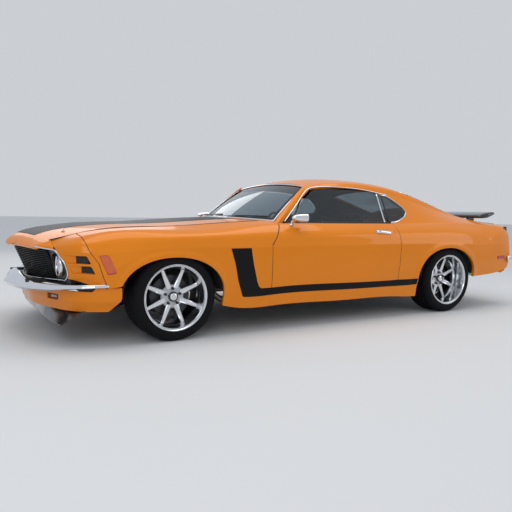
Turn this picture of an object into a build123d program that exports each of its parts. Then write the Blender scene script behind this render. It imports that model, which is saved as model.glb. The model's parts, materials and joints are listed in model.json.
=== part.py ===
"""Two-door fastback muscle car, modelled at full size in millimetres.

The car stands on the ground plane. X points forward, Y to the driver's left and Z up.
The origin lies on the ground under the middle of the car.
"""
import os
from math import cos, pi, sin, sqrt

from build123d import *

# Overall sizes
wheelbase = 2743.0
front_overhang = 990.5
rear_overhang = 1026.5
half_width = 905.0
half_track = half_width - 150.0
roof_height = 1228.0

# Heights above the ground
sill_height = 190.0
door_bottom = 334.0
crease_height = 650.0
belt_height = 819.0
floor_height = 215.0
bumper_height = 412.0

# Wheels and tyres
tyre_radius = 305.0
tread_half = 98.0
tyre_half = 131.0
rim_radius = 234.0
bead_radius = 218.0
rim_half = 130.0
rim_wall = 9.0
spoke_count = 8
lug_count = 5
lug_circle = 57.0
front_dish = 72.0
rear_dish = 116.0
hub_radius = 66.0
spindle_radius = 22.0
bore_cover = 20.0
# brake: inner and outer side from the wheel's middle plane, radius
front_brake = (-30.0, -8.0, 150.0)
rear_brake = (-64.0, -14.0, 128.0)

# Walls and gaps
skin = 6.0
door_wall = 95.0
belt_wall = 62.0
roof_wall = 26.0
lid_wall = 24.0
glass = 6.0
panel_gap = 8.0
seat_gap = 0.3
sill_wall = 120.0
engine_half = 250.0
exhaust_y = engine_half + 26 + seat_gap
floor_wall = 12.0
rail_half = 40.0
arch_depth = 190.0

# Places along the car
x_nose = (wheelbase + front_overhang + rear_overhang) / 2
x_tail = -x_nose
x_front = x_nose - front_overhang
x_rear = x_front - wheelbase
x_extension = x_front + 536.0
x_hood_rear = 645.0
x_cowl = 452.0
x_door_front = 621.0
x_door_rear = -690.0
x_header = 95.0
x_roof_rear = -1085.0
x_deck = x_rear - 450.0
x_tail_panel = x_tail + 90.0
x_quarter_end = x_tail + 75.0
wheel_height = tyre_radius
x_firewall = x_cowl + 150.0
x_step = x_rear + 473.0
x_trunk = x_rear - 350.0
x_shaft_front = 120.0

# Number plate holes
plate_pitch = 178.0
plate_height = 392.0
plate_hole = 3.5
plate_flat = 180.0

# Steering and doors
kingpin_inset = 62.0
lower_arm = 160.0
upper_arm = 438.0
hinge_x = x_door_front - 32.0
hinge_y = half_width - 25.0
hinge_heights = (430.0, 560.0)
hinge_tall = 30.0
hood_axis = (x_hood_rear - 7.0, 840.0)
hood_gap = 18.0
rear_house_in = half_track - 163.0
tunnel_half = 140.0
tunnel_height = 392.0
rail_y = 396.0
rail_height = (300.0, 400.0)
front_house = 372.0
rear_house = 350.0
firewall_height = 800.0
trunk_height = 380.0
rear_floor_height = 442.0
lid_gap = 18.0
deck_depth = 110.0
deck_axis = (x_deck + 8.0, 925.0)

# Wheel arches: centre, half width at the foot and top of the opening
arch_half = 387.0
arch_foot = 318.0
arch_shoulder = (301.0, 92.0)
front_arch = (x_front + 21.0, 588.0)
rear_arch = (x_rear + 33.0, 608.0)
flare = 10.0

# Side glass: half width at the belt, fall in half width for each millimetre of height
glass_half = half_width - 145.0
glass_lean = 0.54
glass_foot = 800.0
glass_base = 820.0
glass_inset = 6.0

# Windscreen: half widths and heights of its corners, bow of its foot and head
screen_foot = (half_width - 255.0, 853.0, 16.0)
screen_head = (half_width - 333.0, 1162.0, 41.0)
screen_bow = 148.0
screen_setback = 45.0
pillar_foot = 826.0
pillar_head = 1108.0

# Door furniture: places along the door and heights
handle_ends = (x_door_rear + 252.0, x_door_rear + 84.0)
handle_height = 749.0
handle_half = 7.0
lock_place = (x_door_rear + 96.0, 702.0)
lock_radius = 10.0
marker_stand = 3.0
marker_depth = 60.0
mirror_x = x_cowl - 80.0
mirror_half = (half_width - 69.0, half_width + 11.0)


def wide(rows):
    """Rows whose columns hold how far inside half_width a point lies, as half widths."""
    return [(x, *((half_width - inset, z) for inset, z in points)) for x, *points in rows]


# Feature lines of the left flank, one row per cross-section, as (inset from half_width, height)
# columns: x, sill edge, flank, crease, upper flank, shoulder, waist, top edge
FLANK = wide([
    (x_nose - 225, (265, 450), (253, 540), (241, 630), (255, 654), (283, 668), (298, 679), (313, 688)),
    (x_nose - 330, (140, 447), (109, 530), (91, 628), (113, 674), (167, 702), (225, 716), (283, 727)),
    (x_extension, (32, 402), (18, 480), (37, 625), (71, 692), (129, 735), (193, 748), (257, 757)),
    (x_front, (25, 330), (-1, 470), (-2, 650), (25, 724), (90, 764), (153, 779), (215, 792)),
    (x_front - 480, (34, 202), (3, 400), (0, 650), (26, 736), (87, 782), (145, 803), (203, 822)),
    (x_cowl + 100, (35, 198), (3, 400), (0, 650), (27, 744), (102, 812), (153, 827), (205, 840)),
    (-80, (35, 193), (3, 400), (0, 650), (27, 746), (102, 819), (137, 822), (245, 990)),
    (x_door_rear, (35, 187), (3, 400), (0, 650), (27, 748), (102, 819), (133, 824), (349, 1160)),
    (x_rear + 353, (31, 187), (1, 430), (-1, 648), (28, 749), (102, 820), (133, 828), (347, 1116)),
    (x_rear, (20, 300), (-5, 470), (-3, 642), (29, 750), (105, 822), (131, 836), (343, 1024)),
    (x_rear - 247, (23, 320), (-1, 470), (3, 636), (35, 748), (111, 820), (135, 836), (333, 948)),
    (x_rear - 547, (39, 330), (17, 460), (25, 626), (57, 740), (120, 812), (147, 828), (315, 880)),
    (x_quarter_end, (71, 396), (67, 500), (83, 640), (99, 730), (133, 788), (167, 808), (265, 830)),
])
SILL, SIDE, CREASE, UPPER, SHOULDER, WAIST, EDGE = range(1, 8)

# Crown of the hood: x, height
HOOD_CROWN = [
    (x_hood_rear, 852), (x_front - 465, 837), (x_front + 40, 806), (x_front + 430, 788), (x_nose - 226, 764),
]

# Pointed front of the hood: x, half width and height of its edge, height of its crown
HOOD_TIP = [
    (x_nose - 127, half_width - 353, 652, 721), (x_nose - 70, 285, 648, 695), (x_nose - 11, 20, 643, 645),
]

# Roof: x, half width and height of its side edge, height of its crown
ROOF = [
    (x_header, half_width - 355, 1132, 1172),
    (-130, half_width - 352, 1162, roof_height - 16),
    (-430, half_width - 349, 1176, roof_height),
    (x_door_rear, half_width - 349, 1160, roof_height - 10),
    (x_roof_rear, half_width - 347, 1095, 1158),
]

# Drip rail over the side windows: x, half width, height
RAIL = [
    (x_header, half_width - 313, 1108), (-130, half_width - 311, 1132),
    (-430, half_width - 311, 1128), (x_door_rear, half_width - 308, 1098),
]

# Top edge of the door glass: x, height
GLASS_TOP = [
    (x_door_rear + glass_inset, 1084), (-430, 1112), (-130, 1116), (x_header - 30, 1094),
    (x_header + 10, 1084),
]

# Small rear side window: x, height, how far each corner moves back and up when the outline grows
QUARTER_WINDOW = [
    (x_door_rear + 10, 838, 0, -1), (x_door_rear + 10, 1084, 0, 1), (x_rear + 500, 1072, 0, 1),
    (x_rear + 362, 985, -1, 1), (x_rear + 306, 933, -1, 0), (x_rear + 350, 882, -1, -1),
]

# Outlines of the slanted front markers and the level rear markers: x, height
FRONT_MARKER = [(x_front + 521, 604), (x_front + 468, 605), (x_front + 420, 486), (x_front + 473, 477)]
REAR_MARKER = [(x_rear - 738, 511), (x_rear - 864, 508), (x_rear - 864, 480), (x_rear - 738, 481)]

# Crown of the rear glass and trunk lid: x, height
REAR_CROWN = [
    (x_roof_rear, 1158), (x_rear - 50, 1078), (x_deck, 940), (x_rear - 697, 886), (x_quarter_end, 856),
]

# Plan lines of the two ends, from the middle outwards, as (setback from the end, half width)
FRONT_LINE = [
    (0, 0), (66, 380), (178, half_width - 245), (300, half_width - 67), (420, half_width - 3),
    (520, half_width + 4),
]
GRILLE_LINE = [(88, 0), (140, 330), (212, half_width - 373)]
TAIL_LINE = [
    (0, 0), (0, plate_flat), (10, 520), (34, half_width - 95), (60, half_width - 35),
    (200, half_width - 19), (330, half_width - 9),
]


def polygon_wire(points):
    """Closed wire through points in space."""
    return Wire.make_polygon([Vector(*p) for p in points], close=True)


def ruled(sections):
    """Straight-ruled solid through closed polygons."""
    return Solid.make_loft([polygon_wire(s) for s in sections], ruled=True)


def prism(points, direction):
    """Polygon in space pushed along a direction."""
    return extrude(Face(polygon_wire(points)), amount=Vector(*direction).length, dir=direction)


def side_prism(outline, y0, y1):
    """Outline of (x, z) points, pushed from y0 to y1."""
    return prism([(x, y0, z) for x, z in outline], (0, y1 - y0, 0))


def plan_prism(outline, z0, z1):
    """Outline of (x, y) points, pushed from z0 to z1."""
    return prism([(x, y, z0) for x, y in outline], (0, 0, z1 - z0))


def cross_prism(outline, x0, x1):
    """Outline of (y, z) points, pushed from x0 to x1."""
    return prism([(x0, y, z) for y, z in outline], (x1 - x0, 0, 0))


def block(x0, x1, y0, y1, z0, z1):
    """Plain box between two corners."""
    return Pos((x0 + x1) / 2, (y0 + y1) / 2, (z0 + z1) / 2) * Box(abs(x1 - x0), abs(y1 - y0), abs(z1 - z0))


def rod(a, b, radius):
    """Round bar between two points."""
    start, end = Vector(*a), Vector(*b)
    plane = Plane(origin=start, z_dir=end - start)
    return extrude(plane * Circle(radius), amount=(end - start).length)


def pipe(points, radius, bend):
    """Round tube of straight runs joined by arcs."""
    path = FilletPolyline(*points, radius=bend)
    start = path @ 0
    return sweep(Plane(origin=start, z_dir=path % 0) * Circle(radius), path=path)


def turned(profile, x, y, z):
    """Ring or disc turned about the wheel axis from (y, radius) points."""
    face = make_face(Polyline(*[(r, a) for a, r in profile], close=True))
    ring = revolve(face, axis=Axis.Y)
    return Pos(x, y, z) * ring


def mirrored(shape):
    """Same piece on the right side of the car."""
    return mirror(shape, about=Plane.XZ)


def both(shape):
    """Left piece with its mirror image."""
    return Compound(children=[shape, mirrored(shape)])


def between(table, x):
    """Row of a table at any x, straight between its rows."""
    rows = sorted(table, key=lambda row: -row[0])
    for front, back in zip(rows, rows[1:]):
        if x >= back[0]:
            break
    share = (front[0] - x) / (front[0] - back[0])

    def mix(a, b):
        if isinstance(a, tuple):
            return tuple(mix(p, q) for p, q in zip(a, b))
        return a + (b - a) * share

    return (x,) + tuple(mix(a, b) for a, b in zip(front[1:], back[1:]))


def stations(table, x0, x1):
    """Rows of a table from x0 back to x1, with both ends."""
    inner = [row[0] for row in table if x1 + 1 < row[0] < x0 - 1]
    return [between(table, x) for x in [x0] + sorted(inner, reverse=True) + [x1]]


def flank_at(x, height):
    """Half width of the outer flank at a height below the shoulder."""
    row = between(FLANK, x)
    points = row[SILL:EDGE]
    for (y0, z0), (y1, z1) in zip(points, points[1:]):
        if height <= z1:
            break
    return y0 + (y1 - y0) * (height - z0) / (z1 - z0)


def arch(place, reach):
    """Wheel-arch opening as a solid through the flank, grown by reach."""
    x, top = place
    side, drop = arch_shoulder
    foot, side, half = arch_foot, side + reach, arch_half + reach
    shoulder = top - drop + reach / 2
    lines = [
        Line((x - half, 0), (x - half, foot)),
        ThreePointArc((x - half, foot), (x - half + 14, (foot + shoulder) / 2), (x - side, shoulder)),
        ThreePointArc((x - side, shoulder), (x, top + reach), (x + side, shoulder)),
        ThreePointArc((x + side, shoulder), (x + half - 14, (foot + shoulder) / 2), (x + half, foot)),
        Line((x + half, foot), (x + half, 0)),
        Line((x + half, 0), (x - half, 0)),
    ]
    outline = make_face(Wire(lines))
    return extrude(Plane.XZ * outline, amount=-(half_width + 100)) - block(
        x_tail, x_nose, -200, half_width - arch_depth, -1, top + 100
    )


def side_panel(x0, x1, low, high, wall):
    """Side panel between two feature lines; its top returns inward where it reaches the edge."""
    sections = []
    for row in stations(FLANK, x0, x1):
        x = row[0]
        outer = list(row[low:high + 1])
        inner = [(y - wall, z) for y, z in outer]
        if high == EDGE:
            inner[-1] = (outer[-1][0], outer[-1][1] - wall * 1.5)
        sections.append([(x, y, z) for y, z in outer + inner[::-1]])
    return ruled(sections)


def lid_panel(table, x0, x1, inset, wall):
    """Crowned panel across the car: hood, roof or rear glass."""
    sections = []
    for x, half, edge, crown in stations(table, x0, x1):
        half -= inset
        swell = crown - edge
        top = [(-half, edge), (-half * 0.55, edge + swell * 0.78), (0, crown)]
        top += [(-y, z) for y, z in reversed(top[:2])]
        sections.append([(x, y, z) for y, z in top] + [(x, y, z - wall) for y, z in reversed(top)])
    return ruled(sections)


# Body panels

def fender():
    """Front fender with its arch and flared lip."""
    panel = side_panel(x_extension - panel_gap / 2, x_cowl + 60, SILL, EDGE, skin)
    flare_band = arch(front_arch, 26) & panel
    panel += Pos(0, flare / 2, 0) * flare_band
    panel -= arch(front_arch, 0)
    behind_door = [
        (x_cowl - 60, sill_height - 50), (x_door_front + panel_gap, sill_height - 50),
        (x_door_front + panel_gap, crease_height + 32), (x_cowl + 57 + panel_gap, belt_height - 10),
        (x_cowl + 50 + panel_gap, belt_height + 100), (x_cowl - 60, belt_height + 100),
    ]
    return panel - side_prism(behind_door, half_width - 200, half_width + 50)


def door():
    """Door as thick as the whole wall, hinged at its front edge."""
    sections = []
    for row in stations(FLANK, x_door_front, x_door_rear):
        x = row[0]
        foot = (flank_at(x, door_bottom), door_bottom)
        belt = row[SHOULDER]
        outer = [foot, row[SIDE], row[CREASE], row[UPPER], belt]
        inner = [(belt[0] - belt_wall, belt[1]), (belt[0] - belt_wall, row[UPPER][1] - 60)]
        inner += [(half_width - door_wall, row[CREASE][1] - 60), (half_width - door_wall, door_bottom)]
        sections.append([(x, y, z) for y, z in outer + inner])
    panel = ruled(sections)
    slant = [
        (x_door_front, crease_height), (x_door_front + 60, crease_height),
        (x_door_front + 60, belt_height + 50), (x_cowl + 40, belt_height + 50),
        (x_cowl + 57, belt_height - 10),
    ]
    panel -= side_prism(slant, half_width - 300, half_width + 50)
    for z in hinge_heights:
        panel -= block(hinge_x - 14, x_door_front + 10, half_width - 205, hinge_y + 12, z, z + hinge_tall)
    return panel


def door_handle(door_panel):
    """Handle bar and lock button, seated on the door's skin."""
    front, rear = handle_ends
    z = handle_height
    bar = block(front, rear, half_width - 60, half_width - 13, z - handle_half, z + handle_half)
    bar = fillet(bar.edges().filter_by(Axis.Z), 5)
    x, z = lock_place
    lock = rod((x, half_width - 60, z), (x, half_width - 9, z), lock_radius)
    seat_face = Pos(0, seat_gap, 0) * door_panel
    inside = block(rear - 50, front + 50, 0, half_width - 45, z - 50, z + 100)
    return (bar - inside - seat_face) + (lock - inside - seat_face)


def door_hinge(z):
    """Arm on the hinge post, reaching into the door's pocket."""
    low, high = z + seat_gap, z + hinge_tall - seat_gap
    arm = plan_prism([
        (hinge_x - 7, hinge_y - 4), (hinge_x + 7, hinge_y + 4),
        (x_door_front + 22, half_width - 105), (x_door_front + 8, half_width - 125),
    ], low, high)
    return arm + rod((hinge_x, hinge_y, low), (hinge_x, hinge_y, high), 8)


def hinge_post():
    """Post in front of the door with the two hinge arms."""
    x = x_door_front + panel_gap
    inner, wall = half_width - 197, half_width - 170
    post = block(x_firewall, x + 40, inner, wall, door_bottom, 780)
    post += block(x, x + 40, wall, half_width - 105, door_bottom, 640)
    for z in hinge_heights:
        post += door_hinge(z)
    return post


def glass_at(z):
    """Half width of the side glass at a height."""
    return glass_half - glass_lean * (z - glass_base)


def glass_slab(outline):
    """Flat side glass leaning in above the belt, cut to an outline."""
    foot, top = glass_foot, roof_height - 28
    half = glass / 2
    section = [
        (glass_at(foot) - half, foot), (glass_at(foot) + half, foot),
        (glass_at(top) + half, top), (glass_at(top) - half, top),
    ]
    return cross_prism(section, x_rear, x_front) & side_prism(outline, half_width / 3, half_width)


def door_glass(door_panel):
    """Frameless door window standing on the door's belt."""
    foot = [(x_cowl - 30, glass_foot), (x_door_rear + glass_inset, glass_foot)]
    pane = glass_slab(foot + GLASS_TOP)
    return pane - Pos(0, 0, seat_gap) * door_panel


def quarter_window_outline(grow):
    """Side outline of the small rear side window, grown all round but at its front."""
    return [(x + back * grow, z + up * grow) for x, z, back, up in QUARTER_WINDOW]


def quarter():
    """Rear quarter with its arch, window opening and sail up to the roof."""
    panel = side_panel(x_door_rear - panel_gap, x_quarter_end, SILL, EDGE, skin)
    flare_band = arch(rear_arch, 34) & panel
    panel += Pos(0, flare / 2, 0) * flare_band
    panel -= arch(rear_arch, 0)
    return panel - side_prism(quarter_window_outline(0), half_width / 2, half_width)


def quarter_glass():
    """Fixed window behind the door, seated inside the quarter's skin."""
    pane = side_panel(x_door_rear - panel_gap, x_rear + 200, WAIST, EDGE, glass)
    pane = Pos(0, -skin - 2 * seat_gap, 0) * pane
    frame = quarter_window_outline(14)
    return pane & side_prism(frame, half_width / 2, half_width)


def roof():
    """Roof skin with drip rails and windscreen pillars."""
    shell = lid_panel(ROOF, x_header, x_roof_rear, seat_gap, roof_wall)
    rails = []
    for x, y, z in RAIL:
        _, half, edge, _ = between(ROOF, x)
        rails.append([(x, half - 4, edge), (x, y, z), (x, y - 8, z - 10), (x, half - 12, edge - roof_wall)])
    side = ruled(rails) + pillar()
    return shell + side + mirrored(side)


def pillar():
    """Windscreen pillar between the edges of the windscreen and the door glass, standing on the cowl."""
    sections = []
    for z in (pillar_foot, pillar_head):
        x, y, _ = between_points(*screen_edge(), z)
        x_glass, _, _ = between_points((x_cowl - 30, 0, glass_foot), (x_header + 10, 0, GLASS_TOP[-1][1]), z)
        outer = glass_at(z)
        plan = [
            (x + 2, y + 2 * seat_gap), ((x + x_glass) / 2 + 6, (y + outer) / 2 + 4),
            (x_glass + 8, outer - 7), (x_glass - 10, outer - 26),
        ]
        sections.append([(px, py, z) for px, py in plan])
    return ruled(sections) - Pos(0, 0, seat_gap) * cowl()


def between_points(low, high, z):
    """Point at a height on the line through two points."""
    share = (z - low[2]) / (high[2] - low[2])
    return tuple(p + (q - p) * share for p, q in zip(low, high))


def crowned_rows(crown, x0, x1):
    """Rows of a panel that lies between the flanks' top edges."""
    xs = {round(row[0], 3) for table in (crown, FLANK) for row in table if x1 + 1 < row[0] < x0 - 1}
    places = [x0] + sorted(xs, reverse=True) + [x1]
    return [(x, *between(FLANK, x)[EDGE], between(crown, x)[1]) for x in places]


def rear_panel(x0, x1, inset, wall):
    """Crowned panel between the sails: rear glass or trunk lid."""
    return lid_panel(crowned_rows(REAR_CROWN, x0, x1), x0, x1, inset, wall)


def hood():
    """Hood, pointed at the nose."""
    rows = [
        (x, half - panel_gap, edge, crown)
        for x, half, edge, crown in crowned_rows(HOOD_CROWN, x_nose - 226, x_hood_rear)
    ]
    panel = lid_panel(HOOD_TIP + rows, x_nose - 11, x_hood_rear, 0, lid_wall)
    for side in (-1, 1):
        panel += hinge_barrel(hood_axis, side * 430, x_hood_rear + 6)
    return panel


def hinge_barrel(axis, y, reach):
    """Barrel of a lid hinge with the web that holds it."""
    x, z = axis
    return rod((x, y - 12, z), (x, y + 12, z), 4) + block(x, reach, y - 12, y + 12, z - 4, z + 4)


def screen_row(share):
    """Foot and head of the windscreen at a share of its half width."""
    bow = share * share
    half, z, fall = screen_foot
    foot = (x_hood_rear - screen_setback - screen_bow * bow, half * share, z - fall * bow)
    half, z, fall = screen_head
    return foot, (x_header + glass + seat_gap, half * share, z - fall * bow)


def screen_edge():
    """Foot and head of the windscreen's left edge."""
    return screen_row(1)


def windscreen():
    """Curved glass from the cowl to the roof's front edge."""
    sections = []
    for share in (-1, -0.8, -0.4, 0, 0.4, 0.8, 1):
        foot, head = screen_row(share)
        back = [(x - glass, y, z) for x, y, z in (head, foot)]
        sections.append([foot, head] + back)
    return ruled(sections)


def cowl():
    """Panel between the hood and the windscreen, with the hood's hinge barrels."""
    front = x_hood_rear - hood_gap
    half = half_width - 205
    rows = [(front, half - seat_gap, 838, 848), (x_cowl - 30, half - seat_gap, 832, 842)]
    panel = lid_panel(rows, front, x_cowl - 30, seat_gap, 20)
    for side in (-1, 1):
        panel += hinge_barrel(hood_axis, side * (430 + 24 + seat_gap), front - 4)
    return panel


def deck_panel():
    """Panel between the rear glass and the trunk lid, with the lid's hinge barrels."""
    panel = rear_panel(x_deck + deck_depth, x_deck + lid_gap, seat_gap, 20)
    for side in (-1, 1):
        panel += hinge_barrel(deck_axis, side * (300 + 24 + seat_gap), x_deck + lid_gap + 6)
    return panel


def trunk_lid():
    """Trunk lid with its hinge barrels."""
    panel = rear_panel(x_deck, x_tail_panel, panel_gap, lid_wall)
    for side in (-1, 1):
        panel += hinge_barrel(deck_axis, side * 300, x_deck - 6)
    return panel


# Ends of the body

def inset_line(line, distance):
    """Open plan line moved inwards, mitred at its corners."""
    moved = []
    for i, (x, y) in enumerate(line):
        normals = []
        for (x0, y0), (x1, y1) in zip(line[max(i - 1, 0):i + 1], line[max(i - 1, 0) + 1:i + 2]):
            run = sqrt((x1 - x0) ** 2 + (y1 - y0) ** 2)
            normals.append(((y1 - y0) / run, -(x1 - x0) / run))
        nx = sum(n[0] for n in normals) / len(normals)
        ny = sum(n[1] for n in normals) / len(normals)
        size = nx * nx + ny * ny
        moved.append((x + distance * nx / size, y + distance * ny / size))
    return moved


def full_line(line):
    """Half plan line with its mirror image, left to right."""
    return line[::-1] + [(x, -y) for x, y in line[1:]]


def band(end, facing, levels, wall):
    """Wall around one end of the car; levels are (height, inset, plan line)."""
    sections = []
    for z, inset, line in levels:
        half = inset_line(line, inset)
        half[0] = (half[0][0], 0)
        back = inset_line(line, inset + wall)
        back[0] = (back[0][0], 0)
        ring = full_line(half) + full_line(back)[::-1]
        sections.append([(end - facing * x, y, z) for x, y in ring])
    return ruled(sections)


def shifted(line, setback, narrower=0):
    """Plan line set further back and drawn in."""
    width = line[-1][1]
    return [(x + setback, y * (width - narrower) / width) for x, y in line]


def front_bumper():
    """Slim chrome bumper, pointed at the middle and wrapped round the sides."""
    levels = [(-38, 9), (-22, 0), (20, 0), (38, 10)]
    return band(x_nose, 1, [(bumper_height + dz, i, FRONT_LINE) for dz, i in levels], 12)


def front_valance():
    """Painted panel under the bumper with two lamp openings."""
    line = shifted(FRONT_LINE[:5], 58, 12) + [(548, half_width - 11)]
    low = shifted(FRONT_LINE[:4], 128, 70) + [(455, half_width - 72), (480, half_width - 64)]
    panel = band(x_nose, 1, [(bumper_height - 38 - seat_gap, 0, line), (300, 0, line), (238, 0, low)], skin)
    for side in (-1, 1):
        panel -= block(x_nose - 400, x_nose, side * 430, side * 590, 286, 322)
    return panel


def chin_spoiler():
    """Black air dam leaning forward under the valance."""
    high = [(160, 0), (188, 300), (250, 560), (330, 730), (440, 812)]
    low = [(62, 0), (92, 300), (152, 560), (210, 700), (262, 762)]
    return band(x_nose, 1, [(150, 0, low), (238 - seat_gap, 0, high)], 7)


def grille():
    """Thin level bars in a surround, set back between the extensions."""
    rim = [(88, 0), (140, 330), (244, half_width - 283)]
    pieces = band(x_nose, 1, [(454, 0, rim), (462, 0, rim)], 20)
    pieces += band(x_nose, 1, [(590, 0, rim), (598, 0, rim)], 20)
    for i in range(9):
        z = 471 + i * 13.2
        pieces += band(x_nose, 1, [(z, 4, GRILLE_LINE), (z + 4, 4, GRILLE_LINE)], 12)
    for y in (-500, -250, 0, 250, 500):
        x = x_nose - between_line(GRILLE_LINE, abs(y)) - 20
        pieces += block(x - 6, x + 4, y - 4, y + 4, 456, 594)
    return pieces


def between_line(line, y):
    """Setback of a plan line at a half width."""
    for (x0, y0), (x1, y1) in zip(line, line[1:]):
        if y <= y1:
            return x0 + (x1 - x0) * (y - y0) / (y1 - y0)
    return line[-1][0]


def nose():
    """Header under the hood and the extensions that carry the lamps."""
    side = side_panel(x_nose - 226, x_extension + seat_gap, SILL, EDGE, 24)
    for z in (0, 66):
        mouth = [(x_nose - 320, 560 + z * 0.9), (x_nose - 320, 586 + z * 0.9)]
        mouth += [(x_extension + 34, 574 + z * 0.7 - 14), (x_extension + 34, 552 + z * 0.7 - 10)]
        side -= side_prism([(x, h - 36) for x, h in mouth], half_width - 150, half_width)
    line = [(30, 0), (76, 330), (160, half_width - 317)]
    header = band(x_nose, 1, [(613, 0, line), (598.3, 6, line)], 84)
    return Compound(children=[side, mirrored(side), header])


def headlamp():
    """Round lamp in its bowl beside the grille."""
    x, y, z = x_nose - 350, half_width - 293, 540
    lamp_depth = x - (x_front + 520) - seat_gap
    bowl = [(-lamp_depth, 0), (-lamp_depth, 20), (0, 20), (60, 72), (64, 76), (70, 76), (70, 60), (84, 0)]
    face = make_face(Polyline(*[(r, a) for a, r in bowl], close=True))
    lamp = revolve(face, axis=Axis.Y)
    return Pos(x, y, z) * (Rot(0, 0, -90) * lamp)


def tail_panel():
    """Upright panel across the ends of the quarters under the trunk lid."""
    back = x_quarter_end - x_tail - 10 - seat_gap
    corners = [(540, 75), (640, 89), (730, 105), (786, 137)]
    levels = [(z, 0, [(52, 0), (52, 690), (back, half_width - inset)]) for z, inset in corners]
    return band(x_tail, -1, levels, 10)


def tail_lamp(i):
    """One of three upright lamps on each side."""
    y = 330 + i * 118
    return block(x_tail + 36, x_tail + 52 - seat_gap, y, y + 84, 612, 742)


def marker(outline, panel):
    """Side marker standing a little out of a panel."""
    lens = side_prism(outline, half_width - 80, half_width)
    skin_side = Pos(0, marker_stand, 0) * panel
    return (lens & skin_side) - Pos(0, seat_gap, 0) * panel


def front_marker():
    """Slanted marker on the fender."""
    return marker(FRONT_MARKER, side_panel(x_extension - panel_gap / 2, x_front, SILL, EDGE, marker_depth))


def rear_marker():
    """Level marker on the quarter."""
    return marker(REAR_MARKER, side_panel(x_rear - 500, x_quarter_end, SILL, EDGE, marker_depth))


def tail_lights():
    """Three upright lamps on each side, and the rear side markers."""
    lights = [tail_lamp(i) for i in range(3)] + [rear_marker()]
    return Compound(children=[shape for light in lights for shape in (light, mirrored(light))])


def rear_bumper():
    """Chrome bumper across the tail and round its corners."""
    levels = [(-40, 9), (-24, 0), (24, 0), (40, 9)]
    bumper = band(x_tail, -1, [(478 + dz, i, TAIL_LINE) for dz, i in levels], 12)
    reach = between_line(shifted(TAIL_LINE[:5], 50, 40), 400) - 3 * seat_gap
    for side in (-1, 1):
        bumper += block(x_tail + 18, x_tail + reach, side * 400 - 20, side * 400 + 20, 470, 490)
    return bumper


def rear_valance():
    """Painted panel under the rear bumper with the number plate's two holes."""
    line = shifted(TAIL_LINE[:5], 50, 40)
    low = shifted(TAIL_LINE[:5], 92, 60)
    panel = band(x_tail, -1, [(540 - seat_gap, 0, line), (355, 0, line), (330, 0, low)], skin)
    for side in (-1, 1):
        y = side * plate_pitch / 2
        panel -= rod((x_tail - 50, y, plate_height), (x_tail + 150, y, plate_height), plate_hole)
    return panel


def rear_wing():
    """Blade across the trunk lid on two feet."""
    blade = [
        (x_tail + 96, 936), (x_tail + 104, 951), (x_tail + 134, 952), (x_tail + 320, 920),
        (x_tail + 340, 902), (x_tail + 322, 884), (x_tail + 220, 886),
    ]
    half = half_width - 230
    wing = side_prism(blade, -half, half)
    for side in (-1, 1):
        x = x_tail + 150
        top = [(x, side * 430 - 12, 928), (x + 100, side * 430 - 12, 900)]
        top += [(x + 100, side * 430 + 12, 900), (x, side * 430 + 12, 928)]
        foot = [(px - 60, py, 846.0) for px, py, _ in top]
        wing += ruled([top, foot])
    return wing


# Platform

def floor():
    """Flat floor pan between the rockers."""
    half = half_width - sill_wall - seat_gap
    pan = block(x_step, x_firewall + floor_wall, -half, half, floor_height, floor_height + floor_wall)
    slot = tunnel_half - floor_wall
    return pan - block(x_step - 10, x_firewall - seat_gap, -slot, slot, 0, tunnel_height)


def tunnel_outline(wall):
    """Outline of the tunnel's section on the floor, drawn in by a wall."""
    top, half = floor_height + floor_wall, tunnel_half - wall
    shoulder, crown = half - 30 - wall / 10, tunnel_height - wall
    return [(-half, top), (-shoulder, crown), (shoulder, crown), (half, top)]


def firewall():
    """Upright wall in front of the cabin with the posts that carry the doors."""
    half = half_width - sill_wall - 22
    top = floor_height + floor_wall
    wall = block(x_firewall, x_firewall + floor_wall, -half, half, top, firewall_height)
    wall -= cross_prism(tunnel_outline(0), x_firewall - 1, x_firewall + floor_wall + 1)
    for side in (-1, 1):
        inner, outer = side * (half_width - 170), side * half_width
        wall -= block(x_firewall - 1, x_firewall + 40, inner, outer, door_bottom, firewall_height + 1)
    post = hinge_post()
    return wall + post + mirrored(post)


def tunnel():
    """Tunnel over the gearbox and propeller shaft, up to the step under the rear seat."""
    outline = tunnel_outline(0) + tunnel_outline(floor_wall)[::-1]
    hump = cross_prism(outline, x_firewall + floor_wall, x_step - 120)
    slope = [(x_step + seat_gap, floor_height + floor_wall), (x_step - 120 + seat_gap, rear_floor_height)]
    low = floor_height - 50
    behind = slope + [(x_step - 200, rear_floor_height), (x_step - 200, low), (x_step, low)]
    return hump - side_prism(behind, -tunnel_half - 1, tunnel_half + 1)


def rear_floor_step():
    """Seat step and the raised floor over the axle."""
    line = [
        (x_step, floor_height + floor_wall), (x_step - 120, rear_floor_height),
        (x_rear - 290, rear_floor_height), (x_trunk, trunk_height),
    ]
    under = [(x, z - floor_wall) for x, z in line]
    half = half_width - sill_wall - 22
    return side_prism(line + under[::-1], -half, half)


def rear_floor():
    """Raised floor behind the seats and the trunk floor, cut for the wheelhouses."""
    half = half_width - sill_wall - 22
    house_side = rear_house_in - seat_gap
    shaft_way = tunnel_outline(floor_wall)
    shaft_way += [(y, 0) for y, _ in (shaft_way[-1], shaft_way[0])]
    trunk = block(x_tail + 150, x_trunk, -half, half, trunk_height - floor_wall, trunk_height)
    pieces = []
    for piece in (rear_floor_step(), trunk):
        for side in (-1, 1):
            piece -= block(x_rear - 460, x_rear + 420, side * house_side, side * half_width, 300, 500)
            piece -= block(x_tail, x_rear - 300, side * 640, side * half_width, 300, 500)
        pieces.append(piece - cross_prism(shaft_way, x_step + 1, x_rear + 340))
    return Compound(children=pieces)


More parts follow.
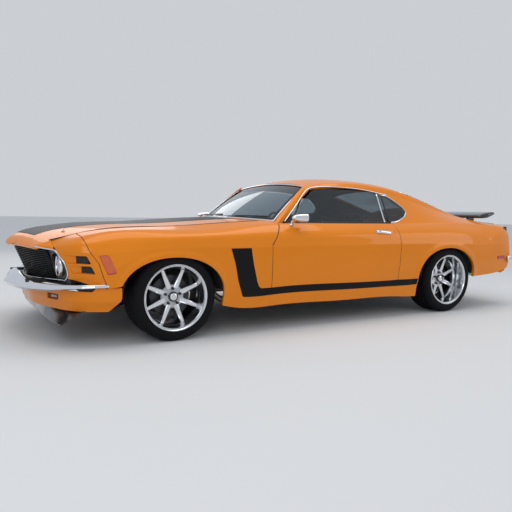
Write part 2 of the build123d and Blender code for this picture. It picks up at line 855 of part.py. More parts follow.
def sill():
    """Rocker under the door."""
    inner, top = half_width - sill_wall, door_bottom - panel_gap
    section = [(half_width - 33, sill_height), (half_width - 5, top), (inner, top), (inner, sill_height)]
    return cross_prism(section, x_door_front + panel_gap - seat_gap, x_door_rear - panel_gap + seat_gap)


def wheelhouse(x, y_in, radius):
    """Half-round shell over a wheel, closed on its inner side."""
    outer = rod((x, y_in, wheel_height), (x, half_width - 40, wheel_height), radius + 4)
    hollow = rod((x, y_in + 4, wheel_height), (x, half_width, wheel_height), radius)
    return outer - hollow - block(x - 500, x + 500, 0, half_width, -100, wheel_height + 45)


def apron():
    """Inner wall from the wheelhouse up to the fender's top edge."""
    sections = []
    for row in stations(FLANK, x_front + 500, x_firewall + floor_wall + seat_gap):
        y, z = row[EDGE]
        top = z - 1.5 * skin - 4 * seat_gap
        sections.append([(row[0], y, top), (row[0], y + 4, top), (row[0], y + 4, 640), (row[0], y, 640)])
    return ruled(sections)


def front_frame():
    """Front rails, wheelhouses, radiator panel and the brackets of the nose."""
    y = rail_y
    firewall_front = x_firewall + floor_wall
    rail = block(x_front + 520, firewall_front + seat_gap, y - rail_half, y + rail_half, *rail_height)
    room = rod((x_front, 0, wheel_height), (x_front, half_width, wheel_height), front_house)
    side = rail + wheelhouse(x_front, y + rail_half, front_house) + (apron() - room)
    side += block(x_front + 480, x_front + 520, 0, half_width - 205, rail_height[0], 640)
    iron = x_nose - between_line(FRONT_LINE, y + 14) - 13.5
    side += block(x_front + 510, iron, y - 14, y + 14, rail_height[1], bumper_height + 12)
    stay = x_nose - between_line(GRILLE_LINE, 250) - 26 - seat_gap
    side += block(x_front + 510, stay, 246, 254, 500, 530)
    return side + mirrored(side)


def rear_frame():
    """Rear wheelhouses and rails under the trunk floor."""
    house = wheelhouse(x_rear, rear_house_in, rear_house)
    outer = rear_house_in - 12
    inner, low = outer - 60, 330
    rail = block(x_tail + 160, x_rear + 340, inner, outer, low, rear_floor_height - floor_wall - 1)
    rail -= block(x_rear - 70, x_rear + 70, inner, outer, low, low + 22)
    rail -= block(x_rear - 285, x_tail, inner, outer, trunk_height - floor_wall - seat_gap, rear_floor_height)
    return both(house + rail)


def front_suspension():
    """Crossmember with lower arms, and upper arms."""
    y = half_track - kingpin_inset
    beam = block(x_front - 60, x_front + 60, -380, 380, 205, 299.7)
    outer = [(x_front + 22, y + 14), (x_front - 22, y + 14)]
    arm = plan_prism([(x_front - 90, 300), (x_front + 90, 300)] + outer, lower_arm, lower_arm + 22)
    inner = rail_y + rail_half + 4 + seat_gap
    upper = plan_prism([(x_front - 60, inner), (x_front + 60, inner)] + outer, upper_arm, upper_arm + 16)
    lower = arm + block(x_front - 60, x_front + 60, 300, 360, lower_arm + 20, 210)
    return Compound(children=[beam + lower + mirrored(lower), upper, mirrored(upper)])


def spindle_end(dish):
    """Half width of a spindle's end inside its hub."""
    return half_track + rim_half - dish - bore_cover - seat_gap


def knuckle():
    """Upright with the spindle that carries a front wheel."""
    y = half_track - kingpin_inset
    upright = rod((x_front, y, lower_arm + 22 + seat_gap), (x_front, y, upper_arm - seat_gap), 19)
    end = spindle_end(front_dish)
    spindle = rod((x_front, y, wheel_height), (x_front, end, wheel_height), spindle_radius)
    steer = block(x_front - 120, x_front, y - 14, y + 6, 250, 270)
    return upright + spindle + steer


def rear_axle():
    """Live axle with its differential, leaf springs and propeller shaft."""
    z = wheel_height
    tube = rod((x_rear, 115 - half_track, z), (x_rear, half_track - 115, z), 38)
    gear = turned([(-130, 0), (-130, 60), (-60, 118), (60, 118), (130, 60), (130, 0)], x_rear, 0, z)
    reach = spindle_end(rear_dish)
    spindle = rod((x_rear, -reach, z), (x_rear, reach, z), spindle_radius)
    shaft = rod((x_rear + 100, 0, z), (x_shaft_front - seat_gap, 0, z), 36)
    axle = tube + gear + spindle + shaft
    leaf = [
        (x_rear + 440, 262), (x_rear, 250), (x_rear - 560, 330 - seat_gap),
        (x_rear - 560, 314), (x_rear, 224), (x_rear + 440, 246),
    ]
    outer = rear_house_in - 32
    for side in (-1, 1):
        axle += side_prism(leaf, side * (outer - 60), side * outer)
        axle += block(x_rear - 60, x_rear + 60, side * (outer - 60), side * outer, 240, z - 20)
    return axle


def engine():
    """Plain block for the engine with its gearbox."""
    body = block(x_front - 480, x_front + 200, -engine_half, engine_half, 300, 700)
    rear = x_shaft_front
    side = [(x_front - 470, 240), (x_front - 470, 420), (x_cowl + 170, 374), (rear, 345), (rear, 265)]
    return body + side_prism(side, -90, 90)


def fuel_tank():
    """Flat tank under the trunk floor."""
    return block(x_tail + 210, x_rear - 370, -370, 370, 240, 380 - floor_wall - seat_gap)


def exhaust():
    """One of two pipes with its silencer."""
    over_y = rear_house_in - 167
    route = [
        (x_front - 440, exhaust_y, 330), (x_front - 640, exhaust_y, 168), (x_rear + 480, exhaust_y, 168),
        (x_rear + 200, over_y, 384), (x_rear - 200, over_y, 384),
        (x_rear - 400, over_y + 15, 290), (x_tail + 70, over_y + 15, 290),
    ]
    line = pipe(route, 26, 60)
    silencer = rod((250, exhaust_y, 168), (-330, exhaust_y, 168), 46)
    return line + silencer


# Cabin

def dashboard():
    """Dashboard across the cabin."""
    section = [
        (x_cowl + 150 - seat_gap, 560), (x_cowl - 20, 560), (x_cowl - 110, 640), (x_cowl - 130, 740),
        (x_cowl - 100, 790), (x_cowl + 100, 800), (x_cowl + 150 - seat_gap, 790),
    ]
    half = half_width - 265
    return side_prism(section, -half, half)


steer_y = half_width - 545.0
steer_hub = (x_cowl - 262, steer_y, 742)
steer_root = (x_cowl - 60, steer_y, 640)


def steering_column():
    """Column from the dashboard towards the steering wheel."""
    a, b = Vector(*steer_root), Vector(*steer_hub)
    run = b - a
    start, end = a - run * 0.1, b - run.normalized() * 20.5
    column = rod(tuple(start), tuple(end), 24)
    return column - dashboard()


def steering_wheel():
    """Rim, three spokes and hub."""
    run = Vector(*steer_hub) - Vector(*steer_root)
    plane = Plane(origin=Vector(*steer_hub), x_dir=(0, 1, 0), z_dir=run)
    rim = Torus(178, 12)
    wheel = rim + Cylinder(42, 40)
    for turn in (0, 90, 180):
        wheel += Rot(0, 0, turn) * (Pos(100, 0, 0) * Box(140, 26, 6))
    return plane.location * wheel


def seat(y):
    """Bucket seat: cushion and back."""
    x = x_cowl - 470
    half, foot, top = 214, floor_height + floor_wall + seat_gap, 400
    cushion = block(x - 450, x + 30, y - half, y + half, foot, top)
    low = top + seat_gap
    side = [(x - 380, low), (x - 560, 880), (x - 660, 880), (x - 520, low)]
    back = side_prism(side, y - half + 6, y + half - 6)
    return Compound(children=[fillet(cushion.edges(), 28), fillet(back.edges(), 28)])


def rear_seat():
    """Rear bench: cushion and back."""
    x = x_rear + 350
    half, top = half_width - 345, 520
    cushion = block(x - 260, x + 180, -half, half, rear_floor_height + seat_gap, top)
    low = top + seat_gap
    side = [(x - 170, low), (x - 300, 830), (x - 380, 830), (x - 300, low)]
    back = side_prism(side, 20 - half, half - 20)
    return Compound(children=[fillet(cushion.edges(), 24), fillet(back.edges(), 24)])


# Wheels

def spoke_section(front, depth, half, radius):
    """Level section of a spoke at a radius; front is its outer face."""
    corners = [(-half, front), (half, front), (half, front - depth), (-half, front - depth)]
    return [(x, w, radius) for x, w in corners]


def wheel(x, dish, brake):
    """Eight-spoke wheel with a deep lip and its brake; its hub runs on the spindle."""
    t = rim_wall
    half = rim_half
    barrel = [
        (half, rim_radius), (half, rim_radius - 7),
        (half - 14, bead_radius - 6), (half - 16, bead_radius - t),
        (12 - half, bead_radius - t), (-half, rim_radius - 7), (-half, rim_radius),
        (4.5 - half, rim_radius), (8.5 - half, bead_radius),
        (half - 8.5, bead_radius), (half - 4.5, rim_radius),
    ]
    body = turned(barrel, 0, 0, 0)
    face = half - dish
    inner, outer, radius = brake
    bore = spindle_radius + seat_gap
    hub = [
        (face, 0), (face, hub_radius - 6), (face - 6, hub_radius), (outer, hub_radius), (outer, radius),
        (inner, radius), (inner, bore), (face - bore_cover, bore), (face - bore_cover, 0),
    ]
    body += turned(hub, 0, 0, 0)
    tip = half - dish * 0.62
    spoke = ruled([
        spoke_section(face - 4, 22, 21, hub_radius - 8), spoke_section(tip, 24, 15, bead_radius - 3),
    ])
    for i in range(spoke_count):
        body += Rot(0, i * 360 / spoke_count, 0) * spoke
    for i in range(lug_count):
        a = 2 * pi * i / lug_count
        x_lug, z_lug = lug_circle * sin(a), lug_circle * cos(a)
        body += rod((x_lug, face - 10, z_lug), (x_lug, face + 16, z_lug), 9)
    return Pos(x, half_track, wheel_height) * body


def tyre(x):
    """Tyre seated on its rim."""
    half = rim_half - 8.5 - seat_gap
    profile = [
        (half, bead_radius + seat_gap), (tyre_half, bead_radius + 40), (tyre_half - 9, tyre_radius - 13),
        (tread_half, tyre_radius),
    ]
    profile += [(-y, r) for y, r in reversed(profile)]
    return turned(profile, x, half_track, wheel_height)


def mirror_body():
    """Door mirror on its foot."""
    x = mirror_x
    shell = [(x + 62, 868), (x + 40, 886), (x, 898), (x - 60, 900), (x - 66, 864), (x - 60, 832)]
    shell.append((x + 12, 836))
    inner, outer = mirror_half
    foot = side_prism([(x + 40, 806), (x + 10, 846), (x - 10, 846), (x - 20, 806)], inner - 44, inner + 6)
    return side_prism(shell, inner, outer) + foot


def build():
    """Write every piece."""
    os.makedirs("parts", exist_ok=True)
    door_left = door()
    glass_left = door_glass(door_left)
    mirror_left = mirror_body() - Pos(0, 0, seat_gap) * door_left
    lid = trunk_lid()
    pairs = {
        "fender": fender(), "door": door_left, "door_glass": glass_left, "mirror": mirror_left,
        "handle": door_handle(door_left), "quarter": quarter(), "knuckle": knuckle(),
        "front_wheel": wheel(x_front, front_dish, front_brake),
        "rear_wheel": wheel(x_rear, rear_dish, rear_brake),
        "front_tyre": tyre(x_front), "rear_tyre": tyre(x_rear),
    }
    nodes = {
        "floor": floor(), "firewall": firewall(), "tunnel": tunnel(), "rear_floor": rear_floor(),
        "sills": both(sill()), "front_frame": front_frame(), "rear_frame": rear_frame(),
        "roof": roof(), "cowl": cowl(), "windscreen": windscreen(),
        "rear_glass": rear_panel(x_roof_rear - seat_gap, x_deck + deck_depth + seat_gap, seat_gap, glass),
        "deck_panel": deck_panel(),
        "quarter_windows": both(quarter_glass()),
        "nose": nose(), "grille": grille(), "headlamps": both(headlamp()),
        "front_bumper": front_bumper(), "front_valance": front_valance(), "chin_spoiler": chin_spoiler(),
        "tail_panel": tail_panel(), "rear_bumper": rear_bumper(), "rear_valance": rear_valance(),
        "tail_lamps": tail_lights(), "front_markers": both(front_marker()),
        "hood": hood(), "trunk_lid": lid,
        "rear_wing": rear_wing() - Pos(0, 0, seat_gap) * lid,
        "dashboard": dashboard(), "steering_column": steering_column(), "steering_wheel": steering_wheel(),
        "seat_left": seat(steer_y), "seat_right": seat(-steer_y), "rear_seat": rear_seat(),
        "engine": engine(), "exhaust": both(exhaust()), "fuel_tank": fuel_tank(),
        "rear_axle": rear_axle(), "front_suspension": front_suspension(),
    }
    for name, shape in pairs.items():
        nodes[name + "_left"] = shape
        nodes[name + "_right"] = mirrored(shape)
    for name, shape in nodes.items():
        export_step(shape, f"parts/{name}.step")


build()
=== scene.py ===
"""Finish of the two-door muscle car: smooth body panels, glass, trim, wheels and cabin.

Tables of places are in millimetres and are brought to metres by MM. X points forward, Y to the left, Z up.
"""

import json
import math

import bmesh
import bpy
import numpy as np
from mathutils import Matrix, Vector
from mathutils.geometry import delaunay_2d_cdt


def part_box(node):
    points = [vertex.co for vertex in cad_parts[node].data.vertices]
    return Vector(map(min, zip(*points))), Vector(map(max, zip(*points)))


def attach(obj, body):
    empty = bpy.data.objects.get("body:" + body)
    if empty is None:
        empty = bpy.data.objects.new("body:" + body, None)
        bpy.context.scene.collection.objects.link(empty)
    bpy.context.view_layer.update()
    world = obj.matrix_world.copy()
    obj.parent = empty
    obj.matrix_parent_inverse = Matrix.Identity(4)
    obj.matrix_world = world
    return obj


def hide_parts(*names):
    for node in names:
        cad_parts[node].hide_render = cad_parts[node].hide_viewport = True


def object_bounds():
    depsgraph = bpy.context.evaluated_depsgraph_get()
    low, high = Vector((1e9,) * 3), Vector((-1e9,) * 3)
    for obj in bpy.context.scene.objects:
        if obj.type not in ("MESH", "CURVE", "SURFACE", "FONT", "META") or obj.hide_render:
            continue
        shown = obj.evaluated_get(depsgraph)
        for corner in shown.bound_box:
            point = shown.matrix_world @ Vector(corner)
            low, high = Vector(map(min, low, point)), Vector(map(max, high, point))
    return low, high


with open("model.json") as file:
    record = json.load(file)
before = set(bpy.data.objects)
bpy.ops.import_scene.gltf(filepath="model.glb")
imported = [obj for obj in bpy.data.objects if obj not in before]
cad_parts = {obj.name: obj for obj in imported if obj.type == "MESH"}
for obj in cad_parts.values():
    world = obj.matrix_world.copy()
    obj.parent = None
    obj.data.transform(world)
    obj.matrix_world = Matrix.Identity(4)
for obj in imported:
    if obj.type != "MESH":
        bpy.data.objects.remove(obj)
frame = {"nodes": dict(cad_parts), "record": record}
cad_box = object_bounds()

MM = 0.001
FLIP = np.array([1, -1, 1])
AXIS = 0.0001      # radius of a turned profile where it meets its axis
HEM = 0.02         # depth of the turned edges of the large panels
SIDES = ("left", "right")


# Places read from the frame

def middle(node):
    """Middle of a node's box."""
    low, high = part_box(node)
    return (low + high) / 2


front_hub = middle("front_tyre_left")
rear_hub = middle("rear_tyre_left")
tyre_low, tyre_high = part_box("front_tyre_left")
tyre_radius = (tyre_high.z - tyre_low.z) / 2
tyre_half = (tyre_high.y - tyre_low.y) / 2
x_nose = cad_box[1].x / MM
x_tail = cad_box[0].x / MM
x_front = front_hub.x / MM
x_rear = rear_hub.x / MM
rim_half = 0.130
rim_radius = 0.234
front_dish = 0.072
rear_dish = 0.116

# Seams of the body, in millimetres
door_front = 621
door_rear = -690
door_foot = 334
gap = 8
x_extension = x_front + 536
x_cowl = 452
x_header = 95
x_roof_rear = -1085
x_deck = x_rear - 450
lid_front = x_deck - 3
lid_rear = x_tail + 88

# Wheel arches: middle, top of the opening, height of the lip over the panel, width of the lip
arch_half = 387
arch_foot = 318
arch_power = 2.12
front_arch = (x_front + 21, 588, 8, 32)
rear_arch = (x_rear + 33, 608, 8, 40)
widest = 908

# Lines of the body side: x, then (half width, height) on each line
SIDE_MARKS = {"sill": 0, "side": 0.20, "crease": 0.44, "upper": 0.54, "shoulder": 0.64, "waist": 0.69}
SIDE = [
    (x_nose - 225, (640, 450), (652, 540), (664, 630), (650, 654), (622, 668)),
    (x_nose - 330, (765, 447), (796, 530), (814, 628), (792, 674), (738, 702)),
    (x_extension, (873, 402), (887, 480), (868, 625), (834, 692), (776, 735)),
    (x_front, (880, 330), (902, 470), (907, 650), (880, 724), (815, 764)),
    (x_front - 480, (871, 202), (900, 400), (906, 650), (879, 736), (818, 782)),
    (x_cowl + 100, (870, 198), (900, 400), (905, 650), (878, 744), (803, 812)),
    (-80, (870, 193), (900, 400), (905, 650), (878, 746), (803, 819)),
    (door_rear, (870, 187), (900, 400), (905, 650), (878, 748), (803, 819)),
    (x_rear + 353, (874, 187), (902, 430), (906, 648), (877, 749), (803, 820)),
    (x_rear, (885, 300), (906, 470), (908, 642), (876, 750), (800, 822)),
    (x_rear - 247, (882, 320), (903, 470), (902, 636), (870, 748), (794, 820)),
    (x_rear - 547, (866, 330), (886, 460), (880, 626), (848, 740), (785, 812)),
    (x_tail + 75, (834, 396), (838, 500), (824, 640), (808, 730), (774, 788)),
    (x_tail + 38, (826, 410), (832, 500), (812, 640), (796, 728), (764, 784)),
]
FRONT_TOP_MARKS = {"edge": 0.75}
FRONT_TOP = [
    (x_nose - 225, (607, 679), (592, 688)),
    (x_nose - 330, (680, 716), (622, 727)),
    (x_extension, (712, 748), (648, 757)),
    (x_front, (752, 779), (690, 792)),
    (x_front - 480, (760, 803), (702, 822)),
    (x_cowl + 100, (752, 827), (700, 840)),
    (x_cowl, (750, 829), (700, 843)),
]
REAR_TOP_MARKS = {"rail": 1.0, "edge": 1.07, "mid": 1.33, "crown": 1.63}
REAR_TOP = [
    (-430, (772, 822), (596, 1128), (556, 1176), (306, 1216), (0, 1228)),
    (door_rear, (772, 824), (599, 1096), (556, 1160), (306, 1205), (0, 1218)),
    (x_rear + 353, (772, 828), (604, 1048), (558, 1116), (307, 1165), (0, 1179)),
    (x_rear, (774, 836), (606, 972), (562, 1024), (309, 1056), (0, 1065)),
    (x_rear - 247, (770, 836), (612, 916), (572, 948), (315, 1002), (0, 1012)),
    (x_rear - 547, (758, 828), (624, 868), (590, 880), (325, 908), (0, 919)),
    (x_tail + 75, (738, 808), (656, 824), (640, 830), (350, 850), (0, 856)),
    (x_tail + 38, (732, 804), (654, 822), (638, 828), (350, 848), (0, 854)),
]
ROOF_MARKS = {"rail": 0, "edge": 0.07, "mid": 0.33, "crown": 0.63}
ROOF = [
    (x_header + 8, (590, 1106), (552, 1130), (303, 1160), (0, 1169)),
    (-130, (594, 1132), (553, 1162), (304, 1201), (0, 1212)),
    *[(row[0], *row[2:]) for row in REAR_TOP[:3]],
]
# Hood: x, half width, height of the side edge, height of the crown
HOOD = [
    (627, 700, 838, 853), (x_front - 465, 701, 822, 838), (x_front, 690, 792, 809),
    (x_extension, 648, 757, 786), (x_nose - 225, 592, 700, 760), (x_nose, 500, 655, 735),
]


# Small mathematics

def smooth_line(xs, values):
    """Natural cubic spline through values at rising xs, as a function of x."""
    xs = np.array(xs, float)
    values = np.array(values, float).reshape(len(xs), -1)
    count = len(xs)
    step = np.diff(xs)
    rise = np.diff(values, axis=0) / step[:, None]
    system = np.eye(count)
    right = np.zeros_like(values)
    for i in range(1, count - 1):
        system[i, i - 1:i + 2] = step[i - 1], 2 * (step[i - 1] + step[i]), step[i]
        right[i] = 6 * (rise[i] - rise[i - 1])
    bend = np.linalg.solve(system, right)

    def at(x):
        x = np.atleast_1d(np.asarray(x, float))
        i = np.clip(np.searchsorted(xs, x) - 1, 0, count - 2)
        h = step[i][:, None]
        a = (xs[i + 1] - x)[:, None] / h
        b = 1 - a
        curve = ((a ** 3 - a) * bend[i] + (b ** 3 - b) * bend[i + 1]) * h * h / 6
        return a * values[i] + b * values[i + 1] + curve

    return at


def unit(vectors):
    """Vectors of length one, along the last axis."""
    size = np.linalg.norm(vectors, axis=-1, keepdims=True)
    return vectors / np.maximum(size, 1e-12)


def ease(x):
    """Smooth step from 0 to 1."""
    x = np.clip(x, 0, 1)
    return x * x * (3 - 2 * x)


def hermite(points, steps):
    """Smooth line through points (n, dims), with steps samples on each run."""
    points = np.array(points, float)
    heading = np.empty_like(points)
    heading[1:-1] = points[2:] - points[:-2]
    heading[0] = points[1] - points[0]
    heading[-1] = points[-1] - points[-2]
    heading = unit(heading)
    length = np.linalg.norm(np.diff(points, axis=0), axis=1)
    made = []
    for i, run in enumerate(length):
        for f in np.arange(steps) / steps:
            made.append(blend_run(points[i], points[i + 1], heading[i] * run, heading[i + 1] * run, f))
    made.append(points[-1])
    return np.array(made)


def blend_run(p, q, m, n, f):
    """Point at share f on the cubic from p to q with end slopes m and n."""
    g = 1 - f
    return p * (1 + 2 * f) * g * g + m * f * g * g + q * f * f * (3 - 2 * f) - n * f * f * g


def resample(points, step=None, count=None):
    """Open line cut into equal runs, of about step or to a number of points."""
    points = np.array(points, float)
    run = np.concatenate([[0], np.cumsum(np.linalg.norm(np.diff(points, axis=0), axis=1))])
    count = count or max(2, int(round(run[-1] / step)) + 1)
    at = np.linspace(0, run[-1], count)
    return np.stack([np.interp(at, run, column) for column in points.T], axis=1)


def arch_line(arch, low=arch_foot):
    """Outline of a wheel arch from its front foot over the top to its rear foot, in millimetres."""
    x, top = arch[:2]
    line = []
    for a in np.linspace(0, math.pi, 49):
        c, s = math.cos(a), math.sin(a)
        dx = math.copysign(abs(c) ** (2 / arch_power), c) * arch_half
        line.append((x + dx, arch_foot + (top - arch_foot) * s ** (2 / arch_power)))
    return [(x + arch_half, low), *line, (x - arch_half, low)] if low < arch_foot else line


def resample_corners(spots, step):
    """Line with its corners kept and each run cut into pieces of at most step."""
    made = []
    for (x0, y0), (x1, y1) in zip(spots, spots[1:]):
        count = max(1, int(math.ceil(math.hypot(x1 - x0, y1 - y0) / step)))
        made += [(x0 + (x1 - x0) * k / count, y0 + (y1 - y0) * k / count) for k in range(count)]
    return made + [spots[-1]]


def ring_cut(corners, step):
    """Closed loop through corners, cut into pieces of at most step."""
    return np.array(resample_corners([*corners, corners[0]], step))[:-1]


def rounded(corners, radius, closed=True, steps=5):
    """Line with its corners rounded off."""
    points = [np.array(p, float) for p in corners]
    made = []
    for i, p in enumerate(points):
        if not closed and i in (0, len(points) - 1):
            made.append(p)
            continue
        before, after = points[i - 1], points[(i + 1) % len(points)]
        back, ahead = np.linalg.norm(before - p), np.linalg.norm(after - p)
        r = min(radius, back * 0.45, ahead * 0.45)
        f = np.linspace(0, 1, steps)[:, None]
        a = p + (before - p) / max(back, 1e-9) * r
        b = p + (after - p) / max(ahead, 1e-9) * r
        made += list(a * (1 - f) ** 2 + 2 * p * f * (1 - f) + b * f * f)
    return [tuple(p) for p in made]


def grown(corners, by):
    """Outline moved outwards from its middle."""
    points = np.array(corners, float)
    return [tuple(p) for p in points + unit(points - points.mean(axis=0)) * by * 1.6]


# Surfaces

class Skin:
    """Smooth surface held as a fine grid over (u, v); its normal points outwards."""

    def __init__(self, us, vs, grid, outward):
        self.us, self.vs, self.grid = us, vs, grid
        du = np.gradient(grid, us, axis=0)
        dv = np.gradient(grid, vs, axis=1)
        normal = unit(np.cross(du, dv))
        self.turn = 1.0 if np.median(np.sum(normal * outward, axis=-1)) > 0 else -1.0
        self.normal = normal * self.turn

    def _mix(self, field, uv):
        u, v = np.asarray(uv, float).reshape(-1, 2).T
        i = np.clip(np.searchsorted(self.us, u) - 1, 0, len(self.us) - 2)
        j = np.clip(np.searchsorted(self.vs, v) - 1, 0, len(self.vs) - 2)
        a = np.clip((u - self.us[i]) / (self.us[i + 1] - self.us[i]), -1, 2)[:, None]
        b = np.clip((v - self.vs[j]) / (self.vs[j + 1] - self.vs[j]), -1, 2)[:, None]
        low = field[i, j] * (1 - a) + field[i + 1, j] * a
        high = field[i, j + 1] * (1 - a) + field[i + 1, j + 1] * a
        return low * (1 - b) + high * b

    def place(self, uv, lift=0.0):
        """Points on the surface, lifted along its normal."""
        return self._mix(self.grid, uv) + unit(self._mix(self.normal, uv)) * lift

    def facing(self, uv):
        """Normals of the surface."""
        return unit(self._mix(self.normal, uv))

    def find(self, x, z):
        """v at which the section at x has the height z."""
        i = int(np.clip(np.searchsorted(self.us, x), 1, len(self.us) - 1))
        share = (x - self.us[i - 1]) / (self.us[i] - self.us[i - 1])
        heights = self.grid[i - 1, :, 2] * (1 - share) + self.grid[i, :, 2] * share
        top = int(np.argmax(heights))
        return float(np.interp(z, heights[:top + 1], self.vs[:top + 1]))


def lined_skin(tables, marks, x0, x1, level_end, arch=None):
    """Surface through lines along the car; each table gives some of the lines."""
    us = np.arange(x0 * MM, x1 * MM + 0.001, 0.008)
    columns = []
    for rows in tables:
        rows = sorted(rows, key=lambda row: row[0])
        values = [[v for point in row[1:] for v in point] for row in rows]
        columns.append(smooth_line([row[0] for row in rows], values)(us / MM).reshape(len(us), -1, 2) * MM)
    points = np.concatenate(columns, axis=1)
    names = list(marks)
    places = [marks[name] for name in names]
    if "crease" in names:
        k = names.index("crease")
        low = points[:, k] + unit(points[:, k - 1] - points[:, k]) * 0.009
        high = points[:, k] + unit(points[:, k + 1] - points[:, k]) * 0.009
        points = np.concatenate([points[:, :k], low[:, None], high[:, None], points[:, k + 1:]], axis=1)
        places[k:k + 1] = [places[k] - 0.009, places[k] + 0.009]
    heading = np.empty_like(points)
    heading[:, 1:-1] = points[:, 2:] - points[:, :-2]
    heading[:, 0] = points[:, 1] - points[:, 0]
    heading[:, -1] = np.array([-1.0, 0.0]) if level_end else points[:, -1] - points[:, -2]
    heading = unit(heading)
    vs = np.arange(places[0], places[-1] + 0.0005, 0.006)
    grid = np.empty((len(us), len(vs), 3))
    grid[:, :, 0] = us[:, None]
    for j, v in enumerate(vs):
        k = min(max(int(np.searchsorted(places, v)) - 1, 0), len(places) - 2)
        run = np.linalg.norm(points[:, k + 1] - points[:, k], axis=1, keepdims=True)
        f = (v - places[k]) / (places[k + 1] - places[k])
        grid[:, j, 1:] = blend_run(points[:, k], points[:, k + 1], heading[:, k] * run,
                                   heading[:, k + 1] * run, f)
    grid[:, :, 1] = np.minimum(grid[:, :, 1], widest * MM)
    if arch:
        raise_lip(grid, arch)
    return Skin(us, vs, grid, np.array([0.0, 1.0, 0.5]))


def raise_lip(grid, arch):
    """Moves a side surface outwards along the edge of its wheel arch."""
    line = np.array(arch_line(arch, low=0)) * MM
    flat = grid[:, :, [0, 2]].reshape(-1, 2)
    distance = np.full(len(flat), 1e9)
    for p in resample(line, 0.012):
        distance = np.minimum(distance, np.hypot(*(flat - p).T))
    height, width = arch[2] * MM, arch[3] * MM
    share = 1 - ease((distance - width * 0.6) / (width * 0.9))
    grid[:, :, 1] += (share * height).reshape(grid.shape[:2])


def height_skin(rows, x0, x1, drop=None):
    """Crowned half panel over (x, y): hood and lids."""
    rows = sorted(rows)
    line = smooth_line([row[0] for row in rows], [row[1:] for row in rows])
    us = np.arange(x0 * MM, x1 * MM + 0.001, 0.008)
    vs = np.arange(0, 0.76, 0.01)
    half, edge, crown = (line(us / MM) * MM).T
    grid = np.empty((len(us), len(vs), 3))
    grid[:, :, 0] = us[:, None]
    grid[:, :, 1] = vs[None, :]
    share = np.clip(vs[None, :] / half[:, None], 0, 1.2)
    grid[:, :, 2] = edge[:, None] + (crown - edge)[:, None] * (1 - share ** 2)
    if drop:
        grid[:, :, 2] -= drop(grid[:, :, 0], grid[:, :, 1])
    return Skin(us, vs, grid, np.array([0.0, 0.0, 1.0]))


# Meshes

def stitched(rows, ring, around=True, closed=False, caps=False):
    """Faces between rows of points that lie one after another.

    around joins the two ends of each row, closed the last row to the first, and caps fill the end rows.
    """
    faces = []
    for i in range(rows if closed else rows - 1):
        a, b = i * ring, (i + 1) % rows * ring
        for k in range(ring if around else ring - 1):
            m = (k + 1) % ring
            faces.append((a + k, b + k, b + m, a + m))
    if caps:
        faces += [tuple(range(ring))[::-1], tuple(range((rows - 1) * ring, rows * ring))]
    return faces


class Build:
    """Points, faces and normals gathered for one object."""

    def __init__(self, points=(), faces=(), normals=()):
        self.points, self.faces, self.normals = [], [], []
        self.add(points, faces, normals)

    def add(self, points, faces, normals=()):
        """Adds a set of points with its faces."""
        base = len(self.points)
        self.points += [tuple(p) for p in points]
        self.faces += [tuple(base + i for i in f) for f in faces]
        self.normals += [tuple(n) for n in normals]
        return self

    def join(self, other):
        """Adds all of another build."""
        return self.add(other.points, other.faces, other.normals)

    def mirrored(self):
        """Mirror image on the other side of the car."""
        points, normals = ([(x, -y, z) for x, y, z in rows] for rows in (self.points, self.normals))
        return Build(points, [f[::-1] for f in self.faces], normals)

    def with_mirror(self):
        """Itself and its mirror image."""
        return Build().join(self).join(self.mirrored())

    def moved(self, matrix):
        """Copy moved by a matrix without scale."""
        turn = matrix.to_3x3()
        normals = [turn @ Vector(n) for n in self.normals]
        return Build([matrix @ Vector(p) for p in self.points], self.faces, normals)

    def object(self, name, material, node=None, body="body", slot=None, smooth=True, crisp=0,
               as_turned=False):
        """Makes the object, which rides on a body and may stand for a node.

        Edges stay sharp above the angle crisp. Faces are turned outwards, but for those of surface patches,
        which come with normals, and of shapes that say as_turned.
        """
        mesh = bpy.data.meshes.new(name)
        mesh.from_pydata(self.points, [], self.faces)
        mesh.validate(clean_customdata=False)
        mesh.materials.append(material)
        mesh.polygons.foreach_set("use_smooth", [smooth] * len(mesh.polygons))
        if self.normals and len(mesh.vertices) == len(self.normals):
            mesh.normals_split_custom_set_from_vertices(self.normals)
        if not (self.normals or as_turned):
            turn_outwards(mesh, crisp)
        made = bpy.data.objects.new(name, mesh)
        bpy.context.scene.collection.objects.link(made)
        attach(made, body)
        if node:
            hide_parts(node)
        return made

    def both(self, name, material, *rest, **more):
        """Makes one object from the shape and its mirror image."""
        return self.with_mirror().object(name, material, *rest, **more)

    def on_side(self, side, name, material, node=None, body="body", **more):
        """Makes the object of one side; what belongs to a door rides on the door of that side."""
        shape = self if side == "left" else self.mirrored()
        rides = f"door_{side}" if body == "door" else body
        shape.object(f"{name}_{side}", material, node and f"{node}_{side}", rides, **more)

    def pair(self, *rest, **more):
        """Makes the left object and the right one, its mirror image."""
        for side in SIDES:
            self.on_side(side, *rest, **more)


def turn_outwards(mesh, crisp):
    """Turns every face outwards and keeps the edges above an angle sharp."""
    work = bmesh.new()
    work.from_mesh(mesh)
    bmesh.ops.recalc_face_normals(work, faces=work.faces)
    for edge in work.edges if crisp else ():
        if len(edge.link_faces) == 2:
            edge.smooth = edge.calc_face_angle(0.0) < math.radians(crisp)
    work.to_mesh(mesh)
    work.free()


def inside(points, loops):
    """Which points lie inside loops, by the even-odd rule."""
    x, y = points.T
    odd = np.zeros(len(points), bool)
    for loop in loops:
        following = np.roll(loop, -1, axis=0)
        for (x0, y0), (x1, y1) in zip(loop, following):
            if y0 != y1:
                odd ^= ((y0 > y) != (y1 > y)) & (x < (x1 - x0) * (y - y0) / (y1 - y0) + x0)
    return odd


def signed_area(loop):
    """Area of a loop, positive when it runs anticlockwise."""
    x, y = loop.T
    return 0.5 * np.sum(x * np.roll(y, -1) - np.roll(x, -1) * y)


